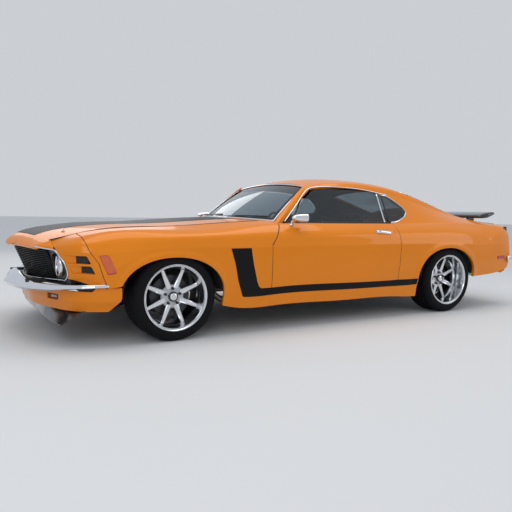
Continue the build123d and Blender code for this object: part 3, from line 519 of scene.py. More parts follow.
def patch(skin, loops, step=0.026, lift=0.0, hem=0.012, round_off=0.002):
    """Part of a surface inside loops of (u, v), with rounded edges turned inwards."""
    loops = [np.array(loop, float) for loop in loops]
    loops = [loop if (signed_area(loop) > 0) == (i == 0) else loop[::-1] for i, loop in enumerate(loops)]
    low, high = loops[0].min(axis=0), loops[0].max(axis=0)
    us, vs = np.arange(low[0], high[0], step), np.arange(low[1], high[1], step * 0.75)
    fill = np.array([(u, v) for u in us for v in vs])
    fill = fill[inside(fill, loops)]
    if len(fill):
        edge = np.concatenate(loops)
        near = np.min(np.hypot(*(fill[:, None] - edge[None]).transpose(2, 0, 1)), axis=1)
        fill = fill[near > step * 0.35]
    flat, edges = [], []
    for loop in loops:
        ring = range(len(flat), len(flat) + len(loop))
        edges += zip(ring, [*ring[1:], ring[0]])
        flat += [Vector(p) for p in loop]
    flat += [Vector(p) for p in fill]
    uv, _, faces, *_ = delaunay_2d_cdt(flat, edges, [], 0, 1e-7, False)
    uv = np.array([tuple(p) for p in uv])
    middles = uv[np.array(faces)].mean(axis=1)
    faces = [face[::int(skin.turn)] for face, kept in zip(faces, inside(middles, loops)) if kept]
    made = Build(skin.place(uv, lift), faces, skin.facing(uv))
    if hem:
        for loop in loops:
            add_hem(made, skin, loop, lift, hem, round_off)
    return made


def add_hem(made, skin, loop, lift, depth, round_off):
    """Edge of a panel, rounded over and turned inwards; the middle line of the car gets none."""
    top, normal = skin.place(loop, lift), skin.facing(loop)
    along = unit(np.roll(top, -1, axis=0) - np.roll(top, 1, axis=0))
    outward = unit(np.cross(along, normal)) * skin.turn
    shoulder = top + outward * round_off * 0.7 - normal * round_off * 0.3
    side = top + (outward - normal) * round_off
    places = [top, shoulder, side, side - normal * depth]
    count, on_middle = len(loop), np.abs(top[:, 1]) < 1e-4
    faces = [face[::int(skin.turn)] for face in stitched(len(places), count)
             if not (on_middle[face[0] % count] and on_middle[face[2] % count])]
    made.add(np.concatenate(places), faces,
             np.concatenate([normal, unit(outward + normal), outward, outward]))


def side_loop(skin, corners, step=0.02):
    """Loop of (u, v) from corners given as (x, height) or (x, name of a line), in millimetres."""
    marks = {**SIDE_MARKS, **(REAR_TOP_MARKS if skin is rear_skin else FRONT_TOP_MARKS)}
    return ring_cut([(x * MM, marks[z] if isinstance(z, str) else skin.find(x * MM, z * MM))
                     for x, z in corners], step)


def top_loop(front, rear, v0, v1):
    """Loop of (u, v) between two places along the car and two lines of a top surface."""
    front, rear = front * MM, rear * MM
    return ring_cut([(front, v0), (front, v1), (rear, v1), (rear, v0)], 0.03)


def sweep(path, section, up, closed=False):
    """Section of (side, up) points swept along a path; up is one vector or one for each point."""
    path = np.array(path, float)
    if closed:
        along = unit(np.roll(path, -1, axis=0) - np.roll(path, 1, axis=0))
    else:
        along = unit(np.concatenate([[path[1] - path[0]], path[2:] - path[:-2], [path[-1] - path[-2]]]))
    side = unit(np.cross(along, np.broadcast_to(np.array(up, float), path.shape)))
    over = unit(np.cross(side, along))
    points = [p + s * a + o * b for p, s, o in zip(path, side, over) for a, b in section]
    faces = stitched(len(path), len(section), closed=closed, caps=not closed)
    area = sum(a0 * b1 - a1 * b0 for (a0, b0), (a1, b1) in zip(section, section[1:] + section[:1]))
    return Build(points, [f[::-1] for f in faces] if area > 0 else faces)


def turn_steps(count):
    """Angles of equal steps round a whole turn."""
    return [2 * math.pi * k / count for k in range(count)]


def lathe(profile, segments):
    """Closed profile of (w, radius) turned about the wheel axis, which points along +Y."""
    points = [(r * math.sin(a), w, r * math.cos(a)) for a in turn_steps(segments) for w, r in profile]
    return Build(points, stitched(segments, len(profile), closed=True))


def prism(outline, low, high, axis=1, bevel=0.0):
    """Flat outline pushed along an axis, its two rims rounded off."""
    outline = np.array(outline, float)
    away = outline - outline.mean(axis=0)
    inner = 1 - bevel / max(np.linalg.norm(away, axis=1))
    levels = [(1, low), (1, high)]
    if bevel:
        levels = [(inner, low), (1, low + bevel), (1, high - bevel), (inner, high)]
    rings = [np.insert(outline.mean(axis=0) + away * share, axis, depth, axis=1) for share, depth in levels]
    return Build(np.concatenate(rings), stitched(len(rings), len(outline), caps=True))


def lofted(rings):
    """Closed shape through rings of equal length."""
    return Build(np.concatenate(rings), stitched(len(rings), len(rings[0]), caps=True))


def slab(top, low):
    """Closed shape between two grids of points (rows, columns, 3)."""
    rows, columns = top.shape[:2]
    total = rows * columns
    faces = stitched(rows, columns, around=False)
    faces += [tuple(total + k for k in f[::-1]) for f in faces]
    ids = np.arange(total).reshape(rows, columns)
    rim = np.concatenate([ids[:, 0], ids[-1, 1:], ids[-2::-1, -1], ids[0, -2:0:-1]]).tolist()
    faces += [(b, a, total + a, total + b) for a, b in zip(rim, rim[1:] + rim[:1])]
    return Build(np.concatenate([top.reshape(-1, 3), low.reshape(-1, 3)]), faces)


def sheet(grid):
    """Open surface through a grid of points (rows, columns, 3)."""
    return Build(grid.reshape(-1, 3), stitched(*grid.shape[:2], around=False))


def modify(made, name, kind, **settings):
    """Gives an object a modifier."""
    modifier = made.modifiers.new(name, kind)
    for key, value in settings.items():
        setattr(modifier, key, value)


# Materials

def finish(name, colour, rough, metal=0.0, coat=0.0, mottle=0.0, mottle_size=0.3, rough_change=0.05,
           grain=0.0, grain_size=0.002, clear=0.0, sheen=0.0, gloss=0.5):
    """Procedural material: colour and roughness vary softly, and a fine grain lies in the bump."""
    made = bpy.data.materials.new(name)
    made.use_nodes = True
    nodes, links = made.node_tree.nodes, made.node_tree.links
    shader = nodes["Principled BSDF"]
    for key, value in (
        ("Metallic", metal), ("Coat Weight", coat), ("Coat Roughness", 0.03),
        ("Transmission Weight", clear), ("Sheen Weight", sheen), ("Specular IOR Level", gloss),
        ("Base Color", (*colour, 1)), ("Roughness", rough),
    ):
        shader.inputs[key].default_value = value
    place = nodes.new("ShaderNodeTexCoord")

    def noise(size, detail):
        """Noise over the piece's own space."""
        cloud = nodes.new("ShaderNodeTexNoise")
        cloud.inputs["Scale"].default_value = 1 / size
        cloud.inputs["Detail"].default_value = detail
        links.new(place.outputs["Object"], cloud.inputs["Vector"])
        return cloud.outputs["Fac"]

    if mottle or rough_change:
        cloud = noise(mottle_size, 4)
    if mottle:
        mix = nodes.new("ShaderNodeMix")
        mix.data_type = "RGBA"
        mix.inputs["A"].default_value = (*[c * (1 - mottle) for c in colour], 1)
        mix.inputs["B"].default_value = (*[min(1, c * (1 + mottle)) for c in colour], 1)
        links.new(cloud, mix.inputs["Factor"])
        links.new(mix.outputs["Result"], shader.inputs["Base Color"])
    if rough_change:
        span = nodes.new("ShaderNodeMapRange")
        span.inputs["To Min"].default_value = max(0.0, rough - rough_change)
        span.inputs["To Max"].default_value = min(1.0, rough + rough_change)
        links.new(cloud, span.inputs["Value"])
        links.new(span.outputs["Result"], shader.inputs["Roughness"])
    if grain:
        bump = nodes.new("ShaderNodeBump")
        bump.inputs["Strength"].default_value = 0.6
        bump.inputs["Distance"].default_value = grain
        links.new(noise(grain_size, 3), bump.inputs["Height"])
        links.new(bump.outputs["Normal"], shader.inputs["Normal"])
    return made


paint = finish("paint", (0.80, 0.225, 0.001), 0.4, metal=0.1, coat=0.5, gloss=0.1, mottle=0.03,
               mottle_size=0.5, rough_change=0.03, grain=0.00002, grain_size=0.004)
black_paint = finish("black_paint", (0.011, 0.011, 0.012), 0.24, coat=0.7, mottle=0.2, rough_change=0.04)
matt_black = finish("matt_black", (0.006, 0.006, 0.007), 0.42, coat=0.04, gloss=0.12, mottle=0.2)
chrome = finish("chrome", (0.80, 0.81, 0.83), 0.06, metal=1.0, mottle=0.04, rough_change=0.035,
                mottle_size=0.12)
alloy = finish("alloy", (0.74, 0.75, 0.77), 0.16, metal=1.0, mottle=0.05, rough_change=0.06,
               mottle_size=0.05)
cast_alloy = finish("cast_alloy", (0.50, 0.51, 0.53), 0.34, metal=1.0, mottle=0.08, rough_change=0.08,
                    mottle_size=0.03, grain=0.0001, grain_size=0.001)
# Dark metal for the wheel nuts and the brake discs; on the discs, which are steel, the darkness is partly
# painted shade behind the spokes.
dark_metal = finish("dark_metal", (0.06, 0.06, 0.065), 0.42, metal=0.7, mottle=0.3, mottle_size=0.08)
steel = finish("steel", (0.33, 0.32, 0.31), 0.4, metal=0.9, mottle=0.25, mottle_size=0.06,
               rough_change=0.12)
rubber = finish("rubber", (0.006, 0.006, 0.007), 0.8, gloss=0.15, mottle=0.3, mottle_size=0.03,
                rough_change=0.1, grain=0.0002, grain_size=0.0012)
# Near-black rubber for the window and screen seals and the grille's backing; it also colours the dark
# sheets that are painted shade in the gaps between panels and at the deep ends of the louvres.
seal = finish("seal", (0.012, 0.012, 0.012), 0.55, mottle=0.2, rough_change=0.1)
trim_black = finish("trim_black", (0.014, 0.014, 0.015), 0.38, mottle=0.2, rough_change=0.08, grain=0.00006,
                    grain_size=0.0008)
chassis = finish("chassis", (0.022, 0.021, 0.021), 0.6, mottle=0.4, mottle_size=0.15, rough_change=0.15,
                 grain=0.0002, grain_size=0.003)
vinyl = finish("vinyl", (0.022, 0.021, 0.021), 0.48, mottle=0.15, rough_change=0.08, grain=0.00025,
               grain_size=0.0022, sheen=0.1)
carpet = finish("carpet", (0.018, 0.017, 0.017), 0.95, mottle=0.35, mottle_size=0.01, grain=0.0015,
                grain_size=0.003, sheen=0.3)
glass = finish("glass", (0.40, 0.47, 0.50), 0.0, clear=1.0, rough_change=0.0)
lens = finish("lens", (0.95, 0.96, 0.97), 0.02, clear=1.0, rough_change=0.02, mottle_size=0.004)
amber = finish("amber", (0.62, 0.10, 0.010), 0.12, coat=1.0, mottle=0.25, mottle_size=0.008, grain=0.0004,
               grain_size=0.006)
red_lens = finish("red_lens", (0.42, 0.008, 0.008), 0.1, coat=1.0, mottle=0.25, mottle_size=0.008,
                  grain=0.0004, grain_size=0.006)
white_plate = finish("white_plate", (0.74, 0.74, 0.70), 0.35, mottle=0.04, coat=0.3)
bright_bowl = finish("bright_bowl", (0.86, 0.87, 0.88), 0.12, metal=1.0, mottle=0.04, rough_change=0.05)
engine_paint = finish("engine_paint", (0.02, 0.06, 0.2), 0.4, mottle=0.2, coat=0.2)

SLOTS = {
    "paint": paint, "chrome": chrome, "glass": glass, "lamp_glass": lens, "red_lens": red_lens,
    "black_gloss": black_paint, "black_trim": trim_black, "upholstery": vinyl, "chassis": chassis,
    "engine_paint": engine_paint, "steel": steel, "polished_alloy": alloy, "tyre": rubber,
    "amber_lens": amber,
}
SLOT_OF = {material.name: slot for slot, material in SLOTS.items()}
SLOT_OF.update(matt_black="black_gloss", cast_alloy="polished_alloy", dark_metal="black_trim",
               seal="black_trim", white_plate="paint", bright_bowl="chrome")


def dress_frame():
    """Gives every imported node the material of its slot."""
    for part in frame["record"]["subparts"]:
        name = part["node"]
        materials = frame["nodes"][name].data.materials
        materials.clear()
        materials.append(
            carpet if name in ("floor", "rear_floor", "tunnel") else SLOTS[part["material_slot"]])


# Body panels

DOOR_TOP = [(x_cowl + 100, (762, 820)), (-80, (768, 825)), (door_rear, (772, 826))]
HOOD_LIP = 0.24
HOOD_LIP_FALL = ([0, 0.23, 0.4, 0.53, 0.6], [0.098, 0.083, 0.060, 0.037, 0.030])


def hood_front(y):
    """Place of the hood's front edge at a half width, in metres."""
    return (x_nose - 11) * MM - 0.2086 * np.abs(y)


def hood_drop(x, y):
    """How far the hood's front lip falls below its crown."""
    share = 1 - np.clip(hood_front(y) - x, 0, HOOD_LIP) / HOOD_LIP
    return np.interp(np.abs(y), *HOOD_LIP_FALL) * (1 - np.sqrt(np.clip(1 - share ** 2, 0, 1)))


front_skin = lined_skin([SIDE, FRONT_TOP], {**SIDE_MARKS, **FRONT_TOP_MARKS}, x_cowl + 8, x_nose - 225,
                        False, front_arch)
rear_skin = lined_skin([SIDE, REAR_TOP], {**SIDE_MARKS, **REAR_TOP_MARKS}, x_tail + 38, -500, True,
                       rear_arch)
door_skin = lined_skin([SIDE, DOOR_TOP], SIDE_MARKS, door_rear - 20, door_front + 20, False)
roof_skin = lined_skin([ROOF], ROOF_MARKS, door_rear, x_header + 4, True)
hood_skin = height_skin(HOOD, 600, x_nose, hood_drop)
rear_edge, rear_crown = REAR_TOP_MARKS["edge"], REAR_TOP_MARKS["crown"]


def trimmed_arch(arch, front_low, rear_low):
    """Arch outline from the front foot to the rear foot, cut off below two heights."""
    line = arch_line(arch)
    top = max(range(len(line)), key=lambda i: line[i][1])
    return [p for i, p in enumerate(line) if p[1] > (front_low if i <= top else rear_low)]


# Outlines of the side panels: (x, height) or (x, name of a line)
LOUVRES = [
    [(2112, 606), (1988, 606), (1962, 551), (2088, 551)],
    [(2084, 541), (1964, 541), (1938, 486), (2062, 486)],
]
WINDOW = [(-690, 1076), (-770, 1078), (-867, 1022), (-938, 966), (-950, 925), (-909, 888), (-800, 848),
          (-698, 829)]
WINDOW_TOP = rounded(WINDOW, 60, closed=False)
FENDER = [
    (2000, "edge"), (1990, 700), (1972, 645), (1915, 555), (1878, 436), (1866, 398),
    *trimmed_arch(front_arch, 398, 300), (x_front - 362, 226), (x_front - 354, "sill"),
    (door_front + gap, "sill"), (door_front + gap, 500), (door_front + gap, 664), (door_front - 30, 712),
    (528, 800), (520, "shoulder"), (512, "waist"), (508, "edge"),
]
EXTENSION = [
    (2008, "edge"), (1998, 700), (1980, 645), (1923, 555), (1886, 436), (1882, "sill"), (2078, "sill"),
    (2080, 470), (2100, 560), (2142, 630), (2154, 660), (2154, "edge"),
]
QUARTER = [
    (door_rear - gap, "sill"), (x_rear + 432, "sill"), (x_rear + 432, 260),
    *trimmed_arch(rear_arch, 300, 324), (x_rear - 345, "sill"), (-1900, "sill"), (-2200, "sill"),
    (-2288, "sill"), (-2326, 520), (-2340, 620), (-2340, 690), (-2330, 750), (-2312, 790),
    (-2290, "waist"), (-2280, "rail"), (-2280, "edge"), (x_deck, "edge"),
    (x_roof_rear, "edge"), (x_roof_rear, "crown"), (-690, "crown"), (-690, "rail"), *WINDOW_TOP,
    (-700, "waist"), (-698, "shoulder"), (-706, 700), (-710, 624), (-704, 500), (-692, 400),
    (door_rear - 2, door_foot), (door_rear - gap, door_foot - 10),
]
DOOR = [
    (door_front, door_foot), (door_rear + 6, door_foot), (-684, 400), (-696, 500), (-702, 624), (-698, 700),
    (-690, "shoulder"), (-690, "waist"), (500, "waist"), (508, "shoulder"), (516, 800),
    (door_front - 42, 712), (door_front, 656), (door_front, 500),
]
SILL = [(door_front + 4, "sill"), (door_rear - 6, "sill"), (door_rear - 6, door_foot - gap),
        (door_front + 4, door_foot - gap)]


def body_side():
    """Fenders, doors, rockers, quarters and the panels beside the grille."""
    louvres = [side_loop(front_skin, rounded(corners, 12), 0.01) for corners in LOUVRES]
    for name, skin, corners in (("fender", front_skin, FENDER), ("quarter", rear_skin, QUARTER),
                                ("door", door_skin, DOOR)):
        patch(skin, [side_loop(skin, corners)], hem=HEM).pair(
            f"{name}_skin", paint, name, "door" if name == "door" else "body")
    extension = patch(front_skin, [side_loop(front_skin, EXTENSION)] + louvres, hem=HEM)
    extension.both("extensions", paint, "nose")
    patch(door_skin, [side_loop(door_skin, SILL)], hem=HEM).both("rocker_skins", paint, "sills")
    scoops(louvres)


def scoops(loops):
    """Ramps behind the louvres, with flat dark sheets at their deep ends as painted shade."""
    ramps, slot_shades = Build(), Build()
    for loop in loops:
        front, rear = loop[:, 0].max(), loop[:, 0].min()
        depth = 0.036 * (front - loop[:, 0]) / (front - rear)
        top = front_skin.place(loop, -0.001)
        foot = top - front_skin.facing(loop) * depth[:, None]
        ramps.add(np.concatenate([top, foot]), stitched(2, len(loop)))
        lit = loop[:, 0] >= front * 0.56 + rear * 0.44
        start = next(i for i in range(len(loop)) if lit[i] and not lit[i - 1])
        order = np.roll(np.arange(len(loop)), -start)
        ramps.add(foot[order[:sum(lit)]], [range(sum(lit))])
        # Beyond the ramp's lit front part, each recess ends in a flat dark sheet: painted shade.
        dark = np.append(order[sum(lit) - 1:], start)
        slot_shades.add(foot[dark] - np.array([0, 0.0005, 0]), [range(len(dark))])
    ramps.both("louvre_ramps", paint, smooth=False)
    slot_shades.both("louvre_slot_shades", seal, smooth=False, as_turned=True)


def top_panels():
    """Roof, hood, cowl, deck and trunk lid."""
    roof = patch(roof_skin, [top_loop(x_header, door_rear, ROOF_MARKS["rail"], ROOF_MARKS["crown"])])
    roof.both("roof_skin", paint, "roof")
    patch(hood_skin, [hood_loop()], hem=HEM).both("hood_skin", paint, "hood", "hood")
    cowl_skin = height_skin([(420, 700, 832, 838), (627, 700, 839, 851)], 420, 640)
    cowl = ring_cut([(0.628, 0.0), (0.628, 0.692), (0.46, 0.64), (0.52, 0.3), (0.545, 0.0)], 0.03)
    patch(cowl_skin, [cowl], hem=0.01).both("cowl_skin", paint, "cowl")
    for name, node, front, rear, body in (
        ("deck_skin", "deck_panel", x_deck + 110, lid_front + 6, "body"),
        ("trunk_lid_skin", "trunk_lid", lid_front - 2, lid_rear, "trunk_lid"),
    ):
        panel = patch(rear_skin, [top_loop(front, rear, rear_edge + 0.006, rear_crown)], hem=HEM)
        panel.both(name, paint, node, body)


def hood_loop():
    """Outline of half the hood, with its pointed front."""
    rear = 0.636
    side = [(rear / MM, HOOD[0][1] - gap)] + [(x, half - gap) for x, half, _, _ in HOOD[1:-1]]
    line = smooth_line(*zip(*side))
    edge = [(x * MM, float(line(x)[0, 0]) * MM) for x in np.linspace(rear / MM, x_nose - 225, 50)]
    corner = [(2.205, 0.577), (2.235, 0.570), (2.2525, 0.550)]
    front = [(hood_front(y), y) for y in np.linspace(0.53, 0.0, 24)]
    front[-1] = (front[-1][0] - 0.002, 0.0)
    middle_line = [(x, 0.0) for x in np.linspace(front[-1][0] - 0.03, 0.666, 40)]
    return np.array(edge + corner + front + middle_line + [(rear, 0.0)]
                    + [(rear, y) for y in np.linspace(0.04, 0.66, 18)])


def seams():
    """Dark strips just under the gaps between panels, painted shade in the gaps, and a dark seal bead along
    the hood's side edge that also paints the shade of that gap.
    """
    build = Build()
    seam_x = door_front + gap / 2
    lines = (
        (front_skin, [(2003, 711), (1994, 700), (1976, 645), (1919, 555), (1882, 436), (1873, 406)]),
        (front_skin, [(seam_x, 340), (seam_x, 500), (seam_x, 660), (door_front - 36, 714), (522, 798)]),
        (rear_skin, [(door_rear - 6, 300), (-688, 400), (-700, 500), (-706, 624), (-702, 700),
                     (-694, 780)]),
        (door_skin, [(x, door_foot - 4) for x in (door_front - 2, -30, door_rear + 4)]),
    )
    # Each strip lies 1.5 mm under the panels: a dark sheet as painted shade seen through the gap.
    for skin, corners in lines:
        spots = np.array(resample_corners([(x * MM, skin.find(x * MM, z * MM)) for x, z in corners], 0.03))
        along = unit(np.gradient(spots, axis=0))
        across = np.stack([-along[:, 1], along[:, 0]], axis=1) * 0.006
        build.join(sheet(np.array([skin.place(spots - across, -0.0015),
                                   skin.place(spots + across, -0.0015)])))
    # Along the hood's side edge: a dark bead that is the hood's seal and also painted shade for the gap
    # beside the hood.
    line = smooth_line(*zip(*sorted((row[0], row[1:3]) for row in HOOD)))
    path = [(x * MM, (half - 4) * MM, (edge - 4) * MM) for x in np.linspace(640, x_nose - 214, 40)
            for half, edge in line(x)]
    build.join(sweep(path, [(-0.004, 0), (0.004, 0), (0.004, 0.006), (-0.004, 0.006)], (0, 0, 1)))
    build.both("seam_shadows", seal, smooth=False, as_turned=True)


# Stripes

stripe_foot, stripe_top = 281, door_foot + 3
stripe_front, stripe_rear = door_front + gap + 1, door_rear - gap
STRIPES = (
    ("stripe_fender", front_skin, [
        (981, 640), (812, 640), (804, 592), (790, 518), (757, 393), (738, 352), (718, stripe_top),
        (stripe_front, stripe_top), (stripe_front, stripe_foot), (862, 279), (873, 287), (897, 350),
        (916, 401), (943, 523), (966, 596)]),
    ("stripe_rocker", door_skin, [
        (stripe_front, stripe_foot), (stripe_rear, stripe_foot), (stripe_rear, stripe_top),
        (stripe_front, stripe_top)]),
    ("stripe_quarter", rear_skin, [
        (stripe_rear, stripe_foot), (x_rear + 434, 286), (x_rear + 425, stripe_top),
        (stripe_rear, stripe_top)]),
)


def stripes():
    """Black side stripes and the black middle of the hood."""
    lift = 0.0014
    for name, skin, corners in STRIPES:
        patch(skin, [side_loop(skin, corners)], lift=lift, hem=0).pair(name, matt_black)
    front = [(hood_front(y) - 0.085, y) for y in np.linspace(0.0, 0.32, 12)]
    loop = ring_cut(front + [(0.646, 0.35), (0.646, 0.0)], 0.03)
    patch(hood_skin, [loop], lift=lift, hem=0).both("hood_black", matt_black, body="hood")


# Glass

PANE = 5
DOOR_PANE = [(x_cowl - 30, 818), (-684, 820), (-684, 1084), (-430, 1112), (-130, 1116), (30, 1104),
             (80, 1086)]
QUARTER_PANE = [(-698, 826), (-706, 1070), (-768, 1074), (-863, 1019), (-934, 963), (-946, 925),
                (-907, 891), (-800, 850)]


def glass_y(z):
    """Half width of the side glass at a height, in millimetres."""
    return 760 - 0.54 * (z - 820)


def side_slab(outline, *walls):
    """Slab with an (x, height) outline; its two walls give the half width at a height."""
    points = [(x * MM, wall(z) * MM, z * MM) for wall in walls for x, z in outline]
    near, far = range(len(outline)), range(len(outline), len(points))
    return Build(points, [near, far[::-1], *stitched(2, len(outline))])


def curved_pane(name, front, node):
    """Pane from a grid of points (rows, columns, 3), made solid inwards."""
    normal = unit(np.cross(np.gradient(front, axis=0), np.gradient(front, axis=1)))
    if np.mean(normal[:, :, 0] + normal[:, :, 2]) < 0:
        normal = -normal
    slab(front, front - normal * PANE * MM).object(name, glass, node)


def windscreen_grid(side=1.0, lift=0.0):
    """Grid of points on the windscreen."""
    u, v = np.meshgrid(np.linspace(-side, side, 33), np.linspace(0, 1, 16))
    u, v = u[:, :, None], v[:, :, None]
    bow = u * u
    foot = np.concatenate([x_cowl + 148 - 148 * bow, 650 * u, 852 - 17 * bow], axis=2)
    head = np.concatenate([x_header + 10 - 4 * bow, 572 * u, 1160 - 39 * bow], axis=2)
    return (foot * (1 - v) + head * v + np.array([0.66, 0, 0.75]) * (np.sin(math.pi * v) * 10 + lift)) * MM


def headlining():
    """Dark lining under the roof and inside the rear roof pillars."""
    depth = -0.016
    roof = top_loop(x_header, door_rear, ROOF_MARKS["edge"], ROOF_MARKS["crown"])
    pillar = [(-1720, "waist"), (-1720, "edge"), (x_roof_rear, "edge"), (x_roof_rear, "crown"),
              (-692, "crown"), (-692, "rail"), *WINDOW_TOP, (-702, "waist")]
    lining = patch(roof_skin, [roof], lift=depth, hem=0)
    lining.join(patch(rear_skin, [side_loop(rear_skin, pillar)], lift=depth, hem=0))
    lining.both("headlining", trim_black)


def windows():
    """Windscreen, rear glass and side windows."""
    curved_pane("windscreen_pane", windscreen_grid(), "windscreen")
    us = np.linspace(x_roof_rear - 4, x_deck + 114, 22) * MM
    vs = np.linspace(rear_edge + 0.012, rear_crown, 14)
    half = rear_skin.place([(u, v) for u in us for v in vs], -0.004).reshape(len(us), len(vs), 3)
    curved_pane("rear_pane", np.concatenate([half, half[:, -2::-1] * FLIP], axis=1), "rear_glass")
    door, quarter = (side_slab(outline, glass_y, lambda z: glass_y(z) - PANE)
                     for outline in (DOOR_PANE, rounded(QUARTER_PANE, 40)))
    door.pair("door_pane", glass, "door_glass", "door", smooth=False)
    quarter.both("quarter_panes", glass, "quarter_windows", smooth=False)


# Ends of the car: plan lines as (setback from the end, half width)

FRONT_LINE = [(0, 0), (66, 380), (178, 660), (300, 838), (420, 902), (520, 909)]
TAIL_LINE = [(1, 0), (1, 180), (10, 520), (34, 810), (60, 870), (200, 886), (330, 896)]
GRILLE_LINE = [(70, 0), (124, 330), (200, 556)]
GRILLE_FOOT, GRILLE_TOP, GRILLE_LEAN = 426, 622, 0.43
SHELF_LINE = [(84, 0), (138, 330), (214, 556), (250, 640), (300, 720)]
SPOILER_HIGH = [(224, 0), (226, 200), (248, 380), (330, 650), (446, 812)]
SPOILER_LOW = [(216, 0), (210, 240), (214, 500), (226, 650), (242, 758)]
SPOILER = [(0, 238), (-0.2, 233), (0.5, 226), (0, 156), (1.5, 151), (5, 150.4), (7, 153), (7, 238)]
VALANCE_HIGH = [(138, 0), (146, 244), (182, 430), (226, 572), (278, 690), (364, 818), (478, 886),
                (606, 893)]
VALANCE_LOW = [(154, 0), (160, 244), (206, 430), (252, 572), (308, 700), (404, 800), (476, 838), (528, 852)]
# Front bumper: half width, height of its lower and upper edges, depth of its upper face; then its section
BUMPER_EDGES = [
    (0, 364, 450, 84), (150, 365, 449, 74), (320, 367, 430, 52), (496, 371, 412, 36), (680, 381, 414, 24),
    (820, 398, 420, 14), (912, 407, 423, 8),
]
BUMPER = [
    (0.30, -0.30), (0.12, -0.06), (0.02, 0.02), (0.0, 0.10), (0.05, 0.20), (0.24, 0.46), (0.52, 0.74),
    (0.82, 0.94), (1.0, 1.0), (1.12, 0.98), (1.14, 0.86), (0.62, 0.30), (0.42, -0.10),
]
REAR_BUMPER = [(13, 439), (5, 443), (1, 454), (0, 466), (0, 490), (1, 502), (5, 513), (13, 517), (22, 517),
               (22, 439)]


def plan_line(points, count=56):
    """Half plan line of an end, evenly cut, in millimetres."""
    return resample(hermite(points, 12), count=count)


def shifted(points, setback, narrower):
    """Plan line set further back and drawn in."""
    width = points[-1][1]
    return [(x + setback, y * (width - narrower) / width) for x, y in points]


def set_in(line, inset):
    """Half plan line moved into the car, with its first point kept on the middle line."""
    along = np.gradient(line, axis=0)
    normal = unit(np.stack([along[:, 1], -along[:, 0]], axis=1))
    normal[0] = 1, 0
    moved = line + normal * inset
    moved[0, 1] = 0
    return moved


def at_end(facing, line, heights):
    """Half plan line of an end as points, at one height or at one for each point."""
    end = x_nose if facing > 0 else x_tail
    return np.stack([end - facing * line[:, 0], line[:, 1], np.broadcast_to(heights, len(line))],
                    axis=1) * MM


def round_end(facing, rows):
    """Closed section carried round one end, from a half plan line and its heights for each corner."""
    halves = [at_end(facing, line, heights) for line, heights in rows]
    return lofted(np.stack([np.concatenate([half[:0:-1] * FLIP, half]) for half in halves], axis=1))


def band(facing, line_at, section, level=0.0, taper=np.ones_like):
    """Closed section of (inset, height) carried round one end.

    line_at gives the plan line at a height, and taper scales the heights about level towards the ends.
    """
    rows = []
    for inset, z in section:
        line = set_in(line_at(z), inset)
        rows.append((line, level + (z - level) * taper(np.linspace(0, 1, len(line)))))
    return round_end(facing, rows)


def blended(high, low, z_high, z_low):
    """Plan line that changes from one line to another between two heights."""
    high, low = plan_line(high), plan_line(low)
    return lambda z: low + (high - low) * float(np.clip((z - z_low) / (z_high - z_low), 0, 1))


def steady(points):
    """The same plan line at every height."""
    line = plan_line(points)
    return lambda z: line


def end_skin(facing, line_at, z0, z1):
    """Surface round half of an end of the car, over (place along the plan line, height)."""
    vs = np.linspace(z0, z1, 40) * MM
    line = line_at(z0)
    us = np.linspace(0, np.sum(np.linalg.norm(np.diff(line, axis=0), axis=1)) * MM, len(line))
    grid = np.stack([at_end(facing, line_at(v / MM), v / MM) for v in vs], axis=1)
    return Skin(us, vs, grid, np.array([facing * 1.0, 0.3, 0.0]))


def along_y(skin, half):
    """Place along the plan line at which it reaches a half width."""
    row = skin.grid.shape[1] // 2
    return float(np.interp(half * MM, skin.grid[:, row, 1], skin.us))


def box_loop(skin, y0, y1, z0, z1, radius=8):
    """Rounded opening between two half widths and two heights."""
    u0, u1 = along_y(skin, y0) / MM, along_y(skin, y1) / MM
    corners = rounded([(u0, z0), (u1, z0), (u1, z1), (u0, z1)], radius)
    return ring_cut([(u * MM, z * MM) for u, z in corners], 0.02)


def whole_loop(skin, z0, z1):
    """Loop round a whole end surface between two heights."""
    end = skin.us[-1]
    return ring_cut([(0, z0 * MM), (end, z0 * MM), (end, z1 * MM), (0, z1 * MM)], 0.025)


# Front end

LAMP_Y, LAMP_Z, LAMP_RADIUS = 0.634, 0.534, 0.077
CHEEK = [(0.550, 0.412), (0.730, 0.412), (0.742, 0.520), (0.724, 0.570), (0.672, 0.630), (0.640, 0.650),
         (0.550, 0.650)]
QUARTER_TURN = Matrix.Rotation(math.radians(90), 4, "Z")


def cheek_x(y, z):
    """Place of the panel round the headlamp."""
    return 2.115 + 0.24 * (0.635 - y) + 0.30 * (z - 0.520)


def front_end():
    """Grille, lamps, bumper, valance and chin spoiler."""
    front_bumper()
    foot, step_z, top = 0.239, 0.372, 0.394
    skin = end_skin(1, blended(VALANCE_HIGH, VALANCE_LOW, 312, 238), 239, 394)
    end, step = skin.us[-1], along_y(skin, 872)
    outline = [(0, foot), (end, foot), (end, top), (step, top), (step - 0.02, step_z), (0, step_z)]
    panel = patch(skin, [ring_cut(outline, 0.025), box_loop(skin, 522, 648, 300, 344)], hem=0.014)
    panel.both("front_valance_skin", paint, "front_valance")
    lamp = box_loop(skin, 550, 620, 312, 332, 6)
    bezel = patch(skin, [box_loop(skin, 526, 644, 303, 341), lamp], step=0.2, lift=-0.008, hem=0.004)
    bezel.both("park_bezels", trim_black)
    patch(skin, [lamp], lift=-0.010, hem=0.004).both("park_lamps", amber)
    dam = band(1, blended(SPOILER_HIGH, SPOILER_LOW, 237, 151), SPOILER, 151,
               lambda share: 1 + 0.42 * ease((share - 0.55) / 0.45))
    dam.object("chin_dam", black_paint, "chin_spoiler")
    grille_front()
    headlamps()


def front_bumper():
    """Slim bright blade: a low pointed front edge and a leaning upper face, slimmer at the ends."""
    line = plan_line(FRONT_LINE, 72)
    table = np.array(BUMPER_EDGES, float).T
    low, high, depth = (np.interp(line[:, 1], table[0], row) for row in table[1:])
    rows = [(set_in(line, (inset * depth)[:, None]), low + (high - low) * rise) for inset, rise in BUMPER]
    round_end(1, rows).object("front_bumper_blade", chrome, "front_bumper")


